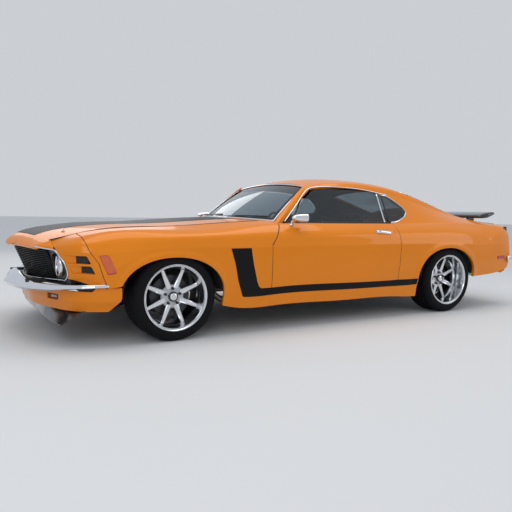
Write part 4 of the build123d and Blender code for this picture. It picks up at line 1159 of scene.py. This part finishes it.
def brow():
    """Painted tongue from the hood's front corner to the panel beside the grille, its outer edge rolled."""
    x_root, reach, sink = 2.154, 0.099, 0.006
    start = np.array([front_skin.place([(x_root, v)])[0] for v in np.linspace(0.75, 0.44, 8)])
    edge_line = smooth_line(*zip(*sorted((x, half) for x, half, _, _ in HOOD)))
    rows = [start]
    for s in np.linspace(0, 1, 12)[1:]:
        x = x_root + reach * s
        y = (float(edge_line(x / MM)[0, 0]) - 3 - 14 * s * s) * MM
        corner = np.array([x, y, hood_skin.place([(x, y)])[0][2]])
        share = (1 - s) ** 0.8
        rows.append((start - start[0]) * share + corner + np.array([0, sink * (1 - share), 0]))
    grid = np.array(rows)
    made = sheet(grid).both("brows", paint, as_turned=True)
    modify(made, "thickness", "SOLIDIFY", thickness=0.004, offset=0)
    return grid[:, -1]


def mouth_line(edge):
    """Line round the left half of the grille's opening, from the middle of its top to that of its foot."""
    top = [(hood_front(y) - 0.010, y, hood_skin.place([(hood_front(y) - 0.003, y)])[0][2] - 0.007)
           for y in np.linspace(0, 0.53, 14)]
    side = [front_skin.place([(x * MM, front_skin.find(x * MM, z * MM))])[0]
            for x, z in ((2144, 630), (2122, 594), (2100, 555), (2086, 510), (2080, 470))]
    low = np.array([(2088, 700, 438), (2096, 640, 434), (2163, 400, 421), (2216, 200, 413),
                    (2242, 0, 408)]) * MM
    return np.concatenate([top, edge[-2::-3], side, low])


def grille_line(inset=0):
    """Plan line of the grille, which leans back towards its foot."""
    line = plan_line(GRILLE_LINE)
    return lambda z: line + np.array([inset + (GRILLE_TOP - z) * GRILLE_LEAN, 0])


def grille_front():
    """Black grille with thin level bars in a thin bright surround."""
    bars = Build()
    pitch, deep, upright = 13.6, 22, 0.0015
    for i in range(15):
        z = GRILLE_FOOT + i * pitch
        bars.join(band(1, grille_line(), [(1.2, z), (0, z + 0.8), (0, z + 3.2), (1.2, z + 4), (deep, z + 4),
                                          (deep, z)]))
    rear_line = grille_line(26)
    for y in np.arange(0, 560, 46.0):
        section = []
        for z, ends in ((GRILLE_FOOT, (-0.012, 0.004)), (GRILLE_TOP, (0.004, -0.012))):
            x = (x_nose - float(np.interp(y, *rear_line(z).T[::-1]))) * MM
            section += [(x + end, z * MM) for end in ends]
        for side in ((1,) if y == 0 else (1, -1)):
            bars.join(prism(section, side * y * MM - upright, side * y * MM + upright))
    bars.object("grille_bars", trim_black, "grille", smooth=False)
    backing = band(1, grille_line(46), [(0, 416), (0, 640), (4, 640), (4, 416)])
    backing.object("grille_backing", seal, smooth=False)
    half = resample(hermite(mouth_line(brow()), 6), 0.012)
    trim = sweep(np.concatenate([half, half[-2:0:-1] * FLIP]), bead(0.008, 0.006), (1, 0, 0.1), closed=True)
    trim.object("grille_surround", chrome)
    shelf = band(1, steady(SHELF_LINE), [(20, 404), (20, 409), (120, 409), (120, 404)])
    shelf.object("grille_shelf", trim_black)


def headlamps():
    """Round lamps in panels beside the grille."""
    us, vs = np.arange(0.5, 0.8, 0.006), np.arange(0.4, 0.72, 0.006)
    skin = Skin(us, vs, np.array([[(cheek_x(u, v), u, v) for v in vs] for u in us]), np.array([1.0, 0, 0]))
    hole = [(LAMP_Y + LAMP_RADIUS * math.cos(a),
             LAMP_Z + LAMP_RADIUS * math.sin(a)) for a in turn_steps(48)]
    cheek = patch(skin, [ring_cut(CHEEK, 0.015), hole], step=0.02, hem=HEM)
    cheek.both("lamp_panels", trim_black)
    place = Matrix.Translation((cheek_x(LAMP_Y, LAMP_Z), LAMP_Y, LAMP_Z)) @ QUARTER_TURN.inverted()
    r = LAMP_RADIUS
    ring = [(0.002, r - 0.001), (0.006, r - 0.003), (0.007, r - 0.008), (0.003, r - 0.013),
            (-0.030, r - 0.013), (-0.030, r - 0.001)]
    bowl = [(-0.006, r - 0.013), (-0.030, r - 0.026), (-0.048, r - 0.048), (-0.055, 0.002), (-0.058, 0.002),
            (-0.052, r - 0.046), (-0.034, r - 0.023), (-0.010, r - 0.012)]
    domed = [(0.013 * (1 - (k / 12) ** 2) - 0.004, max((r - 0.014) * k / 12, AXIS)) for k in range(13)]
    pane = domed + [(w - 0.003, a) for w, a in domed[::-1]]
    bulb = [(-0.05, AXIS), (-0.05, 0.012), (-0.018, 0.012), (-0.012, 0.008), (-0.010, AXIS)]
    for name, profile, material, node, segments in (
        ("lamp_rings", ring, chrome, None, 56), ("lamp_bowls", bowl, bright_bowl, None, 56),
        ("lamp_lenses", pane, lens, "headlamps", 56), ("lamp_bulbs", bulb, bright_bowl, None, 20),
    ):
        lathe(profile, segments).moved(place).both(name, material, node)


# Rear end

TAIL_LAMPS = ((330, 414), (448, 532), (566, 650))


def rear_end():
    """Tail panel, lamps, bumper, valance and plate."""
    skin = end_skin(-1, steady([(50, 0), (50, 640), (52, 700), (62, 790)]), 520, 800)
    lamps, lenses, rims = [], Build(), Build()
    for y0, y1 in TAIL_LAMPS:
        lens_loop = box_loop(skin, y0 + 5, y1 - 5, 617, 737, 10)
        lamps.append(box_loop(skin, y0, y1, 612, 742, 12))
        lenses.join(patch(skin, [lens_loop], lift=0.004, hem=0.012, round_off=0.004))
        rims.join(patch(skin, [box_loop(skin, y0 - 3, y1 + 3, 609, 745, 14), lens_loop], step=0.2,
                        lift=0.005, hem=0.006))
    panel = patch(skin, [whole_loop(skin, 522, 800)] + lamps, hem=0.014)
    panel.both("tail_skin", black_paint, "tail_panel", slot="paint")
    lenses.both("tail_lenses", red_lens, "tail_lamps")
    rims.both("tail_rims", chrome)
    tail_header()
    blade = band(-1, steady(TAIL_LINE[:5] + [(124, 878)]), REAR_BUMPER, 478,
                 lambda share: 1 - 0.25 * ease((share - 0.85) / 0.15))
    blade.object("rear_bumper_blade", chrome, "rear_bumper")
    line, low = shifted(TAIL_LINE[:5], 50, 40), shifted(TAIL_LINE[:5], 92, 60)
    skin = end_skin(-1, blended(line, low, 360, 330), 331, 538)
    valance = patch(skin, [whole_loop(skin, 331, 538)], hem=0.014)
    valance.both("rear_valance_skin", paint, "rear_valance")
    half, tall = 0.155, 0.052
    plate = prism(rounded([(-half, -tall), (half, -tall), (half, tall), (-half, tall)], 0.012), 0, 0.0025,
                  bevel=0.0006)
    place = Matrix.Translation(((x_tail + 46) * MM, 0, 0.388)) @ QUARTER_TURN
    plate.moved(place).object("plate", white_plate)


def tail_header():
    """Rounded edge between the trunk lid and the tail panel."""
    rows = []
    for s in np.linspace(0, 1, 30):
        top = rear_skin.place([(lid_rear * MM - 0.004, rear_crown * (1 - s) + rear_edge * s)])[0]
        x, z = (x_tail + 50) * MM, 0.797
        rows.append([(top[0] + (x - top[0]) * math.sin(a), top[1], z + (top[2] - z) * math.cos(a))
                     for a in np.linspace(0, math.pi / 2, 8)])
    made = sheet(np.array(rows)).both("tail_header", paint, as_turned=True)
    modify(made, "thickness", "SOLIDIFY", thickness=0.003, offset=0)


WING = [(98, 937), (103, 949), (116, 953), (140, 951), (240, 938), (312, 921), (334, 912), (340, 902),
        (334, 890), (320, 885), (270, 884), (220, 889), (160, 909), (104, 931)]


def wing():
    """Black wing over the trunk lid."""
    stations = []
    for s in np.linspace(-1, 1, 41):
        closed = 1 - 0.12 * ease((abs(s) - 0.97) / 0.03)
        stations.append([((x_tail + 220 + (x - 220) * closed) * MM, s * 0.674,
                          (918 + (z - 918) * closed) * MM)
                         for x, z in WING])
    build = lofted(stations)
    x = (x_tail + 150) * MM
    for y in (0.43, -0.43):
        foot = rounded([(x - 0.02, -0.011), (x + 0.09, -0.011), (x + 0.09, 0.011), (x - 0.02, 0.011)], 0.01)
        build.join(prism([(p, q + y) for p, q in foot], 0.850, 0.906, axis=2))
    build.object("wing_blade", black_paint, "rear_wing", "trunk_lid")


# Wheels and tyres

def spoke(root, tip, root_half, tip_half, thick):
    """One tapering spoke with a raised middle, from (radius, w) root to tip, along +Z."""
    sections = []
    for f in np.linspace(0, 1, 6):
        r, w = (a + (b - a) * f for a, b in zip(root, tip))
        half = root_half + (tip_half - root_half) * f
        sections.append([(-half, w - thick, r), (-half, w - 0.005, r), (-half * 0.6, w, r),
                         (half * 0.6, w, r), (half, w - 0.005, r), (half, w - thick, r)])
    return lofted(sections)


def wheel_pieces(dish):
    """Parts of one wheel about its own middle; w points outwards."""
    half, r = rim_half, rim_radius
    face = half - dish
    lip = [(half - 0.003, r), (half, r - 0.002), (half, r - 0.006), (half - 0.003, r - 0.009),
           (half - 0.010, r - 0.014), (half - 0.014, r - 0.019), (half - 0.018, r - 0.020),
           (face + 0.020, r - 0.026), (face + 0.006, r - 0.030), (face - 0.002, r - 0.036),
           (face - 0.030, r - 0.040), (0.02 - half, r - 0.030), (0.003 - half, r - 0.010),
           (-half, r - 0.004), (-half + 0.003, r), (-half + 0.008, r - 0.016), (half - 0.008, r - 0.016)]
    spokes, nuts = Build(), Build()
    one = spoke((0.062, face - 0.002), (r - 0.034, face + 0.004), 0.019, 0.0125, 0.020)
    for a in turn_steps(8):
        spokes.join(one.moved(Matrix.Rotation(a + math.pi / 8, 4, "Y")))

    def turned(profile, segments):
        """Piece turned about the wheel's axis, placed from the spokes' face."""
        return lathe([(face + w, a) for w, a in profile], segments)

    nut = turned([(-0.006, AXIS), (-0.006, 0.0105), (0.010, 0.0100), (0.014, 0.0070), (0.015, AXIS)], 6)
    for a in turn_steps(5):
        nuts.join(nut.moved(Matrix.Translation((0.057 * math.sin(a), 0, 0.057 * math.cos(a)))))
    centre = turned([(-0.030, AXIS), (-0.030, 0.074), (-0.014, 0.086), (-0.006, 0.080), (-0.004, 0.050),
                     (-0.002, 0.046), (-0.002, AXIS)], 64)
    cap = turned([(-0.002, AXIS), (-0.002, 0.036), (0.012, 0.036), (0.016, 0.033), (0.016, 0.027),
                  (0.014, AXIS)], 48)
    dome = turned([(0.012, AXIS), (0.012, 0.026), (0.018, 0.025), (0.023, 0.016), (0.025, AXIS)], 40)
    # Brake disc behind the spokes, darker than its steel: partly painted shade inside the wheel.
    disc = turned([(w - 0.062, a) for w, a in (
        (-0.012, 0.03), (-0.012, 0.142), (-0.009, 0.146), (0.007, 0.146), (0.010, 0.142), (0.010, 0.078),
        (0.030, 0.074), (0.030, 0.03))], 64)
    return (
        ("rim", lathe(lip, 96), alloy), ("spokes", spokes, alloy), ("centre", centre, cast_alloy),
        ("nuts", nuts, dark_metal), ("cap", cap, black_paint), ("dome", dome, alloy),
        ("disc", disc, dark_metal),
    )


def tyre_build():
    """Tyre with shoulder blocks and grooves."""
    r, half = tyre_radius, tyre_half
    rest = rim_radius - 0.016
    outer = [(0.1215, rest + 0.001), (0.1255, rest + 0.012), (0.1290, rest + 0.026), (half, rest + 0.044),
             (half - 0.001, rest + 0.056), (half - 0.006, rest + 0.068), (half - 0.014, r - 0.012),
             (0.108, r - 0.004), (0.098, r - 0.0005)]
    grooves = [(w + dw, r - 0.0002 + dr) for w in (0.074, 0.038, 0.0, -0.038, -0.074)
               for dw, dr in ((0.0045, 0), (0.0035, -0.007), (-0.0035, -0.007), (-0.0045, 0))]
    inner = [(-0.118, rest - 0.001), (0.118, rest - 0.001)]
    return lathe(outer + grooves + [(-w, a) for w, a in outer[::-1]] + inner, 128)


def wheels():
    """All four wheels with their tyres."""
    tread = tyre_build()
    for end, hub, dish in (("front", front_hub, front_dish), ("rear", rear_hub, rear_dish)):
        for side, sign in (("left", 1), ("right", -1)):
            body = f"{end}_wheel_{side}"
            place = Matrix.Translation((hub.x, sign * hub.y, hub.z))
            if sign < 0:
                place = place @ Matrix.Rotation(math.pi, 4, "Z")
            for name, build, material in wheel_pieces(dish):
                build.moved(place).object(f"{name}_{end}_{side}", material,
                                          body if name == "rim" else None, body,
                                          slot="steel" if name == "disc" else None, crisp=32)
            tread.moved(place).object(f"tread_{end}_{side}", rubber, f"{end}_tyre_{side}", body, crisp=40)


# Bright and black trim

def bead(width, height):
    """Rounded section for a trim strip, as (side, up), in metres."""
    w, h = width / 2, height
    return [(-w, 0), (w, 0), (w, h * 0.6), (w * 0.5, h), (-w * 0.5, h), (-w, h * 0.6)]


def strip(path, section, up, name, material, both=True, closed=False):
    """Trim swept along a path of millimetre points, on one or both sides of the car."""
    build = sweep(np.array(path, float) * MM, section, up, closed)
    (build.both if both else build.object)(name, material)


OUT, GLASS_OUT, UP = (0, 1, 0.45), (0, 1, 0.54), (0, 0.1, 1)
RAIL = [(430, 752, 832), (262, 672, 973), (150, 616, 1072), (88, 598, 1108), (-40, 597, 1127),
        (-258, 598, 1131), (-488, 598, 1121), (-700, 602, 1093), (-790, 604, 1081)]
WINDOW_EDGE = [(-702, 1077), (-770, 1080), (-868, 1023), (-939, 967), (-952, 925), (-910, 887), (-800, 846),
               (-704, 831)]


def side_trims():
    """Drip rails, window edges, divider bars and door sweeps."""
    strip(hermite(RAIL, 8), bead(0.009, 0.010), OUT, "drip_rails", chrome)
    foot = [(x, glass_y(z) + 5, z + 1) for x, z in ((x_cowl - 50, 822), (-200, 827), (-684, 828))]
    made = sweep(hermite(foot, 8) * MM, bead(0.012, 0.008), (0, 1, 0.35))
    made.pair("door_sweep", trim_black, body="door")
    bar = hermite([(x, glass_y(z) + 3, z) for x, z in ((-636, 829), (-642, 950), (-651, 1088))], 6)
    sweep(bar * MM, bead(0.016, 0.006), GLASS_OUT).pair("divider_bar", chrome, body="door")
    joint = [(x, glass_y(z) + 1, z) for x, z in ((-691, 829), (-696, 950), (-702, 1078))]
    strip(hermite(joint, 6), bead(0.016, 0.004), GLASS_OUT, "window_seals", seal)
    path = [rear_skin.place([(x * MM, rear_skin.find(x * MM, z * MM))])[0] / MM
            for x, z in rounded(WINDOW_EDGE, 45, closed=False)]
    strip(path, bead(0.013, 0.005), OUT, "quarter_window_trim", chrome)


PILLAR_FOOT = np.array([(462, 640, 826), (470, 662, 822), (452, 690, 818), (412, 694, 818), (398, 668, 822),
                        (430, 645, 826)])
PILLAR_HEAD = np.array([(104, 556, 1146), (118, 566, 1134), (112, 590, 1106), (80, 598, 1100),
                        (62, 584, 1122), (70, 556, 1146)])


def pillars():
    """Windscreen pillars with the surrounds of the screen and of the rear glass."""
    bow = np.array([0.5, 0.3, 0.8]) * 8
    rings = [(PILLAR_FOOT * (1 - f) + PILLAR_HEAD * f + bow * math.sin(math.pi * f)) * MM
             for f in np.linspace(0, 1, 12)]
    modify(lofted(rings).both("screen_pillars", paint), "edges", "BEVEL", width=0.006, segments=3,
           limit_method="ANGLE", angle_limit=math.radians(35), harden_normals=True)
    grid = windscreen_grid(side=0.985, lift=2.0) / MM
    edge = np.concatenate([grid[:, -1], grid[-1, -2::-1], grid[-2::-1, 0], grid[0, 1:-1]])
    strip(edge, bead(0.014, 0.006), (0.66, 0, 0.75), "screen_surround", chrome, both=False, closed=True)
    seal_line = windscreen_grid(side=0.955, lift=0.6)[:, -1] / MM
    strip(seal_line, bead(0.03, 0.001), (0.55, 0.5, 0.6), "screen_seals", seal)
    us = np.linspace(x_roof_rear - 2, x_deck + 112, 22) * MM
    vs = np.linspace(rear_edge + 0.010, rear_crown, 14)
    for name, spots in (
        ("sides", [(u, vs[0]) for u in us]), ("foot", [(us[-1], v) for v in vs[1:]]),
        ("head", [(us[0], v) for v in vs[:0:-1]]),
    ):
        strip(rear_skin.place(spots, 0.001) / MM, bead(0.014, 0.005), UP, f"rear_screen_{name}", chrome)


MARKERS = (
    ("front", front_skin, [(1908, 600), (1858, 601), (1818, 500), (1868, 494)], amber, "front_markers"),
    ("rear", rear_skin, [(-2090, 511), (-2218, 508), (-2218, 480), (-2090, 481)], red_lens, "tail_lamps"),
)
HANDLE = [(-438, 878, 757), (-448, 889, 757), (-470, 893, 757), (-560, 893, 748), (-590, 889, 746),
          (-606, 877, 745)]
GRIP = [(-0.009, -0.004), (0.009, -0.004), (0.010, 0.001), (0.006, 0.004), (-0.006, 0.004), (-0.010, 0.001)]
HANDLE_CUP = [(-0.620, 0.730), (-0.425, 0.740), (-0.425, 0.772), (-0.620, 0.762)]
FUEL_CAP = [(0.0, AXIS), (0.0, 0.052), (0.006, 0.052), (0.009, 0.048), (0.009, 0.036), (0.013, 0.033),
            (0.014, AXIS)]
HOOD_PIN = [(0.0, AXIS), (0.0, 0.016), (0.002, 0.016), (0.003, 0.006), (0.014, 0.005), (0.014, AXIS)]


def lights_and_caps():
    """Side markers, door handles, mirrors, fuel cap, hood pins and wipers."""
    for name, skin, corners, material, node in MARKERS:
        lines = (corners, 9), (grown(corners, 5), 10)
        lamp, rim = (side_loop(skin, rounded(*line), 0.01) for line in lines)
        lamp = patch(skin, [lamp], step=0.012, lift=0.005, hem=0.010, round_off=0.003)
        lamp.both(f"marker_lens_{name}", material, node)
        rim = patch(skin, [rim], step=0.02, lift=0.002, hem=0.006)
        rim.both(f"marker_rim_{name}", red_lens)
    handle = sweep(hermite(HANDLE, 5) * MM, GRIP, (0, 1, 0))
    lock = lathe([(0.0, AXIS), (0.0, 0.010), (0.004, 0.009), (0.005, AXIS)], 24)
    handle.join(lock.moved(Matrix.Translation((-0.594, 0.886, 0.702))))
    cup = prism(rounded(HANDLE_CUP, 0.016), 0.8745, 0.8765)
    for side in SIDES:
        handle.on_side(side, "handle", chrome, "handle", "door", crisp=40)
        cup.on_side(side, "handle_cup", chrome, "handle", "door", crisp=40)
        mirror().on_side(side, "mirror_shell", chrome, "mirror", "door", crisp=50)
    cap = lathe(FUEL_CAP, 48).moved(Matrix.Translation(((x_tail + 51) * MM, 0, 0.676)) @ QUARTER_TURN)
    cap.object("fuel_cap", chrome, crisp=30)
    pins, (x, y) = Build(), (2.05, 0.46)
    z = hood_skin.place([(x, y)])[0][2]
    for half in (y, -y):
        place = Matrix.Translation((x, half, z)) @ Matrix.Rotation(math.radians(90), 4, "X")
        pins.join(lathe(HOOD_PIN, 20).moved(place))
    pins.object("hood_pins", chrome, body="hood", crisp=40)
    wipers()


MIRROR_FOOT = [(0.405, 0.806, 0.807), (0.395, 0.812, 0.826), (0.385, 0.838, 0.850), (0.382, 0.858, 0.862)]
MIRROR_STEM = [(-0.017, -0.007), (0.017, -0.007), (0.020, 0), (0.017, 0.007), (-0.017, 0.007), (-0.020, 0)]


def blunt(share):
    """Sine or cosine drawn towards the corners of its square."""
    return math.copysign(abs(share) ** 0.8, share)


def mirror():
    """Left door mirror on its foot."""
    rings = []
    for f in np.linspace(0, 1, 9):
        size = math.sqrt(max(0.0, 1 - (f * 0.96) ** 2.4))
        rings.append([(0.308 + f * 0.125, 0.876 + blunt(math.cos(a)) * 0.039 * size,
                       0.866 + blunt(math.sin(a)) * 0.033 * size) for a in turn_steps(24)])
    return lofted(rings).join(sweep(hermite(MIRROR_FOOT, 5), MIRROR_STEM, (0, 0, 1)))


def wipers():
    """Two parked wipers at the foot of the windscreen."""
    build = Build()
    lean = (0.3, 0, 1)
    for foot, tip in (((585, 90, 862), (470, 560, 862)), ((580, -480, 858), (592, 0, 872))):
        foot, tip = np.array(foot, float), np.array(tip, float)
        arm = hermite([foot, (foot + tip) / 2 + np.array([8, 0, 8]), tip], 6)
        blade = [foot + (tip - foot) * f + np.array([-6, 0, 4 + 3 * math.sin(math.pi * f)])
                 for f in np.linspace(0.18, 1.0, 8)]
        build.join(sweep(arm * MM, bead(0.007, 0.005), lean))
        build.join(sweep(np.array(blade) * MM, bead(0.006, 0.010), lean))
    build.object("wipers", trim_black)


# Cabin

def cushion(size, crown, channels=0):
    """Padded block centred on the origin: superellipse plan, crowned top with stitched channels."""
    length, width, height = size
    v, u = np.meshgrid(np.linspace(-1, 1, 44), np.linspace(-1, 1, 44))
    rim = np.maximum(0, 1 - np.abs(u) ** 3.2) * np.maximum(0, 1 - np.abs(v) ** 3.2)
    lift = height * 0.5 * rim ** 0.35 + crown * rim
    if channels:
        phase = (u + 1) * channels / 2 % 1
        groove = 0.010 * np.exp(-((phase - 0.5) / 0.10) ** 2) * (1 - (np.abs(v) / 0.72) ** 6)
        lift -= groove * ((np.abs(v) < 0.72) & (np.abs(u) < 0.86))
        lift -= 0.012 * np.exp(-((np.abs(v) - 0.74) / 0.035) ** 2) * (np.abs(u) < 0.92)
    top = np.stack([u * length / 2, v * width / 2, lift], axis=2)
    return slab(top, top * [1, 1, -0.55])


# Cushions: size, crown, channels, place, lean in degrees
SEAT = (
    ((0.47, 0.42, 0.15), 0.03, 5, (-0.213, 0.36, 0.322), 4),
    ((0.52, 0.41, 0.13), 0.02, 6, (-0.492, 0.36, 0.640), -68),
    ((0.13, 0.26, 0.08), 0.01, 0, (-0.600, 0.36, 0.838), -72),
)
BENCH = (
    ((0.42, 0.54, 0.07), 0.015, 5, (-1.045, 0.275, 0.482), 3),
    ((0.30, 0.52, 0.08), 0.015, 4, (-1.240, 0.275, 0.672), -66),
)


def padding(cushions, side):
    """Cushions on one side of the cabin, leaning about the car's cross axis."""
    build = Build()
    for size, crown, channels, (x, y, z), lean in cushions:
        turn = Matrix.Rotation(math.radians(lean), 4, "Y")
        build.join(cushion(size, crown, channels).moved(Matrix.Translation((x, side * y, z)) @ turn))
    return build


def seats():
    """Two bucket seats and a rear bench."""
    for name, node, build in (
        ("seat_padding_left", "seat_left", padding(SEAT, 1)),
        ("seat_padding_right", "seat_right", padding(SEAT, -1)),
        ("rear_bench", "rear_seat", padding(BENCH, 1).join(padding(BENCH, -1))),
    ):
        made = build.object(name, vinyl, node)


def cabin():
    """Steering wheel, gauges, seats and door cards."""
    seats()
    hub, root, across = Vector((0.190, 0.36, 0.742)), Vector((0.392, 0.36, 0.640)), Vector((0, 1, 0))
    axis = (hub - root).normalized()
    up = axis.cross(across).normalized()
    facing = tuple(axis)

    def spot(a, reach, sink=0.0):
        """Point on the wheel at an angle and a distance from its hub."""
        return tuple(hub + (across * math.cos(a) + up * math.sin(a)) * reach - axis * sink)

    round_section = [(0.0105 * math.cos(a), 0.0105 * math.sin(a)) for a in turn_steps(12)]
    build = sweep([spot(a, 0.178) for a in turn_steps(64)], round_section, facing, closed=True)
    arm = [(-0.014, -0.002), (0.014, -0.002), (0.014, 0.002), (-0.014, 0.002)]
    for a in (0, math.pi, math.pi * 1.5):
        build.join(sweep([spot(a, 0.035), spot(a, 0.1, 0.004), spot(a, 0.172)], arm, facing))
    boss = lathe([(-0.018, AXIS), (-0.018, 0.036), (0.006, 0.040), (0.014, 0.030), (0.016, AXIS)], 40)
    turn = axis.to_track_quat("Y", "Z").to_matrix().to_4x4()
    build.join(boss.moved(Matrix.Translation(hub) @ turn))
    build.object("steering_rim", trim_black, "steering_wheel", "steering_wheel", crisp=50)
    gauges = Build()
    dial = lathe([(0.0, AXIS), (0.0, 0.032), (0.006, 0.034), (0.008, 0.030), (0.002, 0.028),
                  (0.002, AXIS)], 32)
    for y in (0.24, 0.32, 0.40, 0.48):
        gauges.join(dial.moved(Matrix.Translation((0.3215, y, 0.735)) @ QUARTER_TURN))
    gauges.object("gauges", chrome, crisp=40)
    door_inner()


# Inner door pieces: outline, then heights with the outer and inner half widths at them
DOOR_SHELL = ([(609, 342), (-680, 342), (-688, 420), (-694, 622), (-682, 806), (500, 806), (505, 790),
               (609, 656)],
              ((342, 500, 650, 745, 806), (872, 890, 896, 866, 806), (800, 800, 800, 790, 752)))
DOOR_CARD = ([(560, 372), (-640, 372), (-640, 800), (470, 800), (560, 670)],
             ((372, 520, 560, 620, 800), (798, 798, 792, 794, 758), (790, 788, 776, 784, 748)))
ARM_REST = [(0.20, 0.548), (-0.42, 0.560), (-0.42, 0.612), (0.18, 0.604)]


def door_inner():
    """Doors' inner shells with their cards and arm rests."""
    shell, card = (side_slab(outline, *[lambda z, wall=wall: np.interp(z, heights, wall) for wall in walls])
                   for outline, (heights, *walls) in (DOOR_SHELL, DOOR_CARD))
    rest = prism(rounded(ARM_REST, 0.02), 0.742, 0.790, bevel=0.008)
    for side in SIDES:
        shell.on_side(side, "door_shell", paint, body="door", smooth=False)
        for name, build in (("door_card", card), ("arm_rest", rest)):
            build.on_side(side, name, vinyl, body="door", slot="black_trim", smooth=False)


# Stage

LAMPS = (
    ("overhead", (0.0, 0.5, 5.6), (0, 0, 0.4), (7.0, 3.2), 120),
    ("front_left", (4.6, 5.6, 3.6), (0.8, 0, 0.5), (3.0, 3.0), 60),
    ("rear_left", (-6.0, 4.6, 3.2), (-1.0, 0, 0.6), (3.0, 3.0), 40),
    ("right", (0.5, -7.0, 3.8), (0, 0, 0.5), (5.0, 2.4), 50),
)
CAMERA_PLACE, CAMERA_LENS = (2.8409, 4.3764, 0.9008), 38.65
CAMERA_YAW, CAMERA_PITCH, CAMERA_ROLL = -0.5370, -0.0790, 0.0190


def staged(name, data):
    """Object that belongs to the stage."""
    made = bpy.data.objects.new(name, data)
    bpy.context.scene.collection.objects.link(made)
    return made


def studio():
    """Pale floor, soft lights, pale background and the photo's camera."""
    pale = finish("studio_floor", (0.74, 0.74, 0.73), 0.85, gloss=0.2, mottle=0.02, mottle_size=2.0,
                  rough_change=0.02)
    mesh = bpy.data.meshes.new("studio_floor")
    size = 60
    mesh.from_pydata([(-size, -size, 0), (size, -size, 0), (size, size, 0), (-size, size, 0)], [],
                     [(0, 1, 2, 3)])
    mesh.materials.append(pale)
    staged("studio_floor", mesh)
    for name, spot, target, (wide, tall), power in LAMPS:
        data = bpy.data.lights.new(name, "AREA")
        data.shape = "RECTANGLE"
        data.size, data.size_y = wide, tall
        data.energy = power
        lamp = staged(name, data)
        lamp.location = spot
        lamp.rotation_euler = (Vector(target) - Vector(spot)).to_track_quat("-Z", "Y").to_euler()
    background()
    camera()


def background():
    """Pale bluish light from all sides, behind a plain grey for the camera."""
    world = bpy.data.worlds.new("studio")
    world.use_nodes = True
    nodes, links = world.node_tree.nodes, world.node_tree.links
    light, seen = nodes["Background"], nodes.new("ShaderNodeBackground")
    for node, colour, strength in ((light, (0.80, 0.85, 0.93, 1), 0.72),
                                   (seen, (0.60, 0.62, 0.65, 1), 1.0)):
        node.inputs["Color"].default_value = colour
        node.inputs["Strength"].default_value = strength
    path = nodes.new("ShaderNodeLightPath")
    mix = nodes.new("ShaderNodeMixShader")
    links.new(path.outputs["Is Camera Ray"], mix.inputs["Fac"])
    links.new(light.outputs["Background"], mix.inputs[1])
    links.new(seen.outputs["Background"], mix.inputs[2])
    links.new(mix.outputs["Shader"], nodes["World Output"].inputs["Surface"])
    bpy.context.scene.world = world
    bpy.context.scene.view_settings.view_transform = "Standard"


def camera():
    """Camera of the photo."""
    data = bpy.data.cameras.new("photo_view")
    data.lens = CAMERA_LENS
    data.sensor_width = 36
    level = math.cos(CAMERA_PITCH)
    forward = Vector((math.sin(CAMERA_YAW) * level, -math.cos(CAMERA_YAW) * level, math.sin(CAMERA_PITCH)))
    right = forward.cross(Vector((0, 0, 1))).normalized()
    up = right.cross(forward)
    c, s = math.cos(CAMERA_ROLL), math.sin(CAMERA_ROLL)
    turn = Matrix((right * c + up * s, up * c - right * s, -forward)).transposed().to_4x4()
    made = staged("photo_view", data)
    made.matrix_world = Matrix.Translation(CAMERA_PLACE) @ turn
    bpy.context.scene.camera = made


dress_frame()
body_side()
top_panels()
seams()
stripes()
headlining()
windows()
front_end()
rear_end()
wing()
wheels()
side_trims()
pillars()
lights_and_caps()
cabin()
studio()
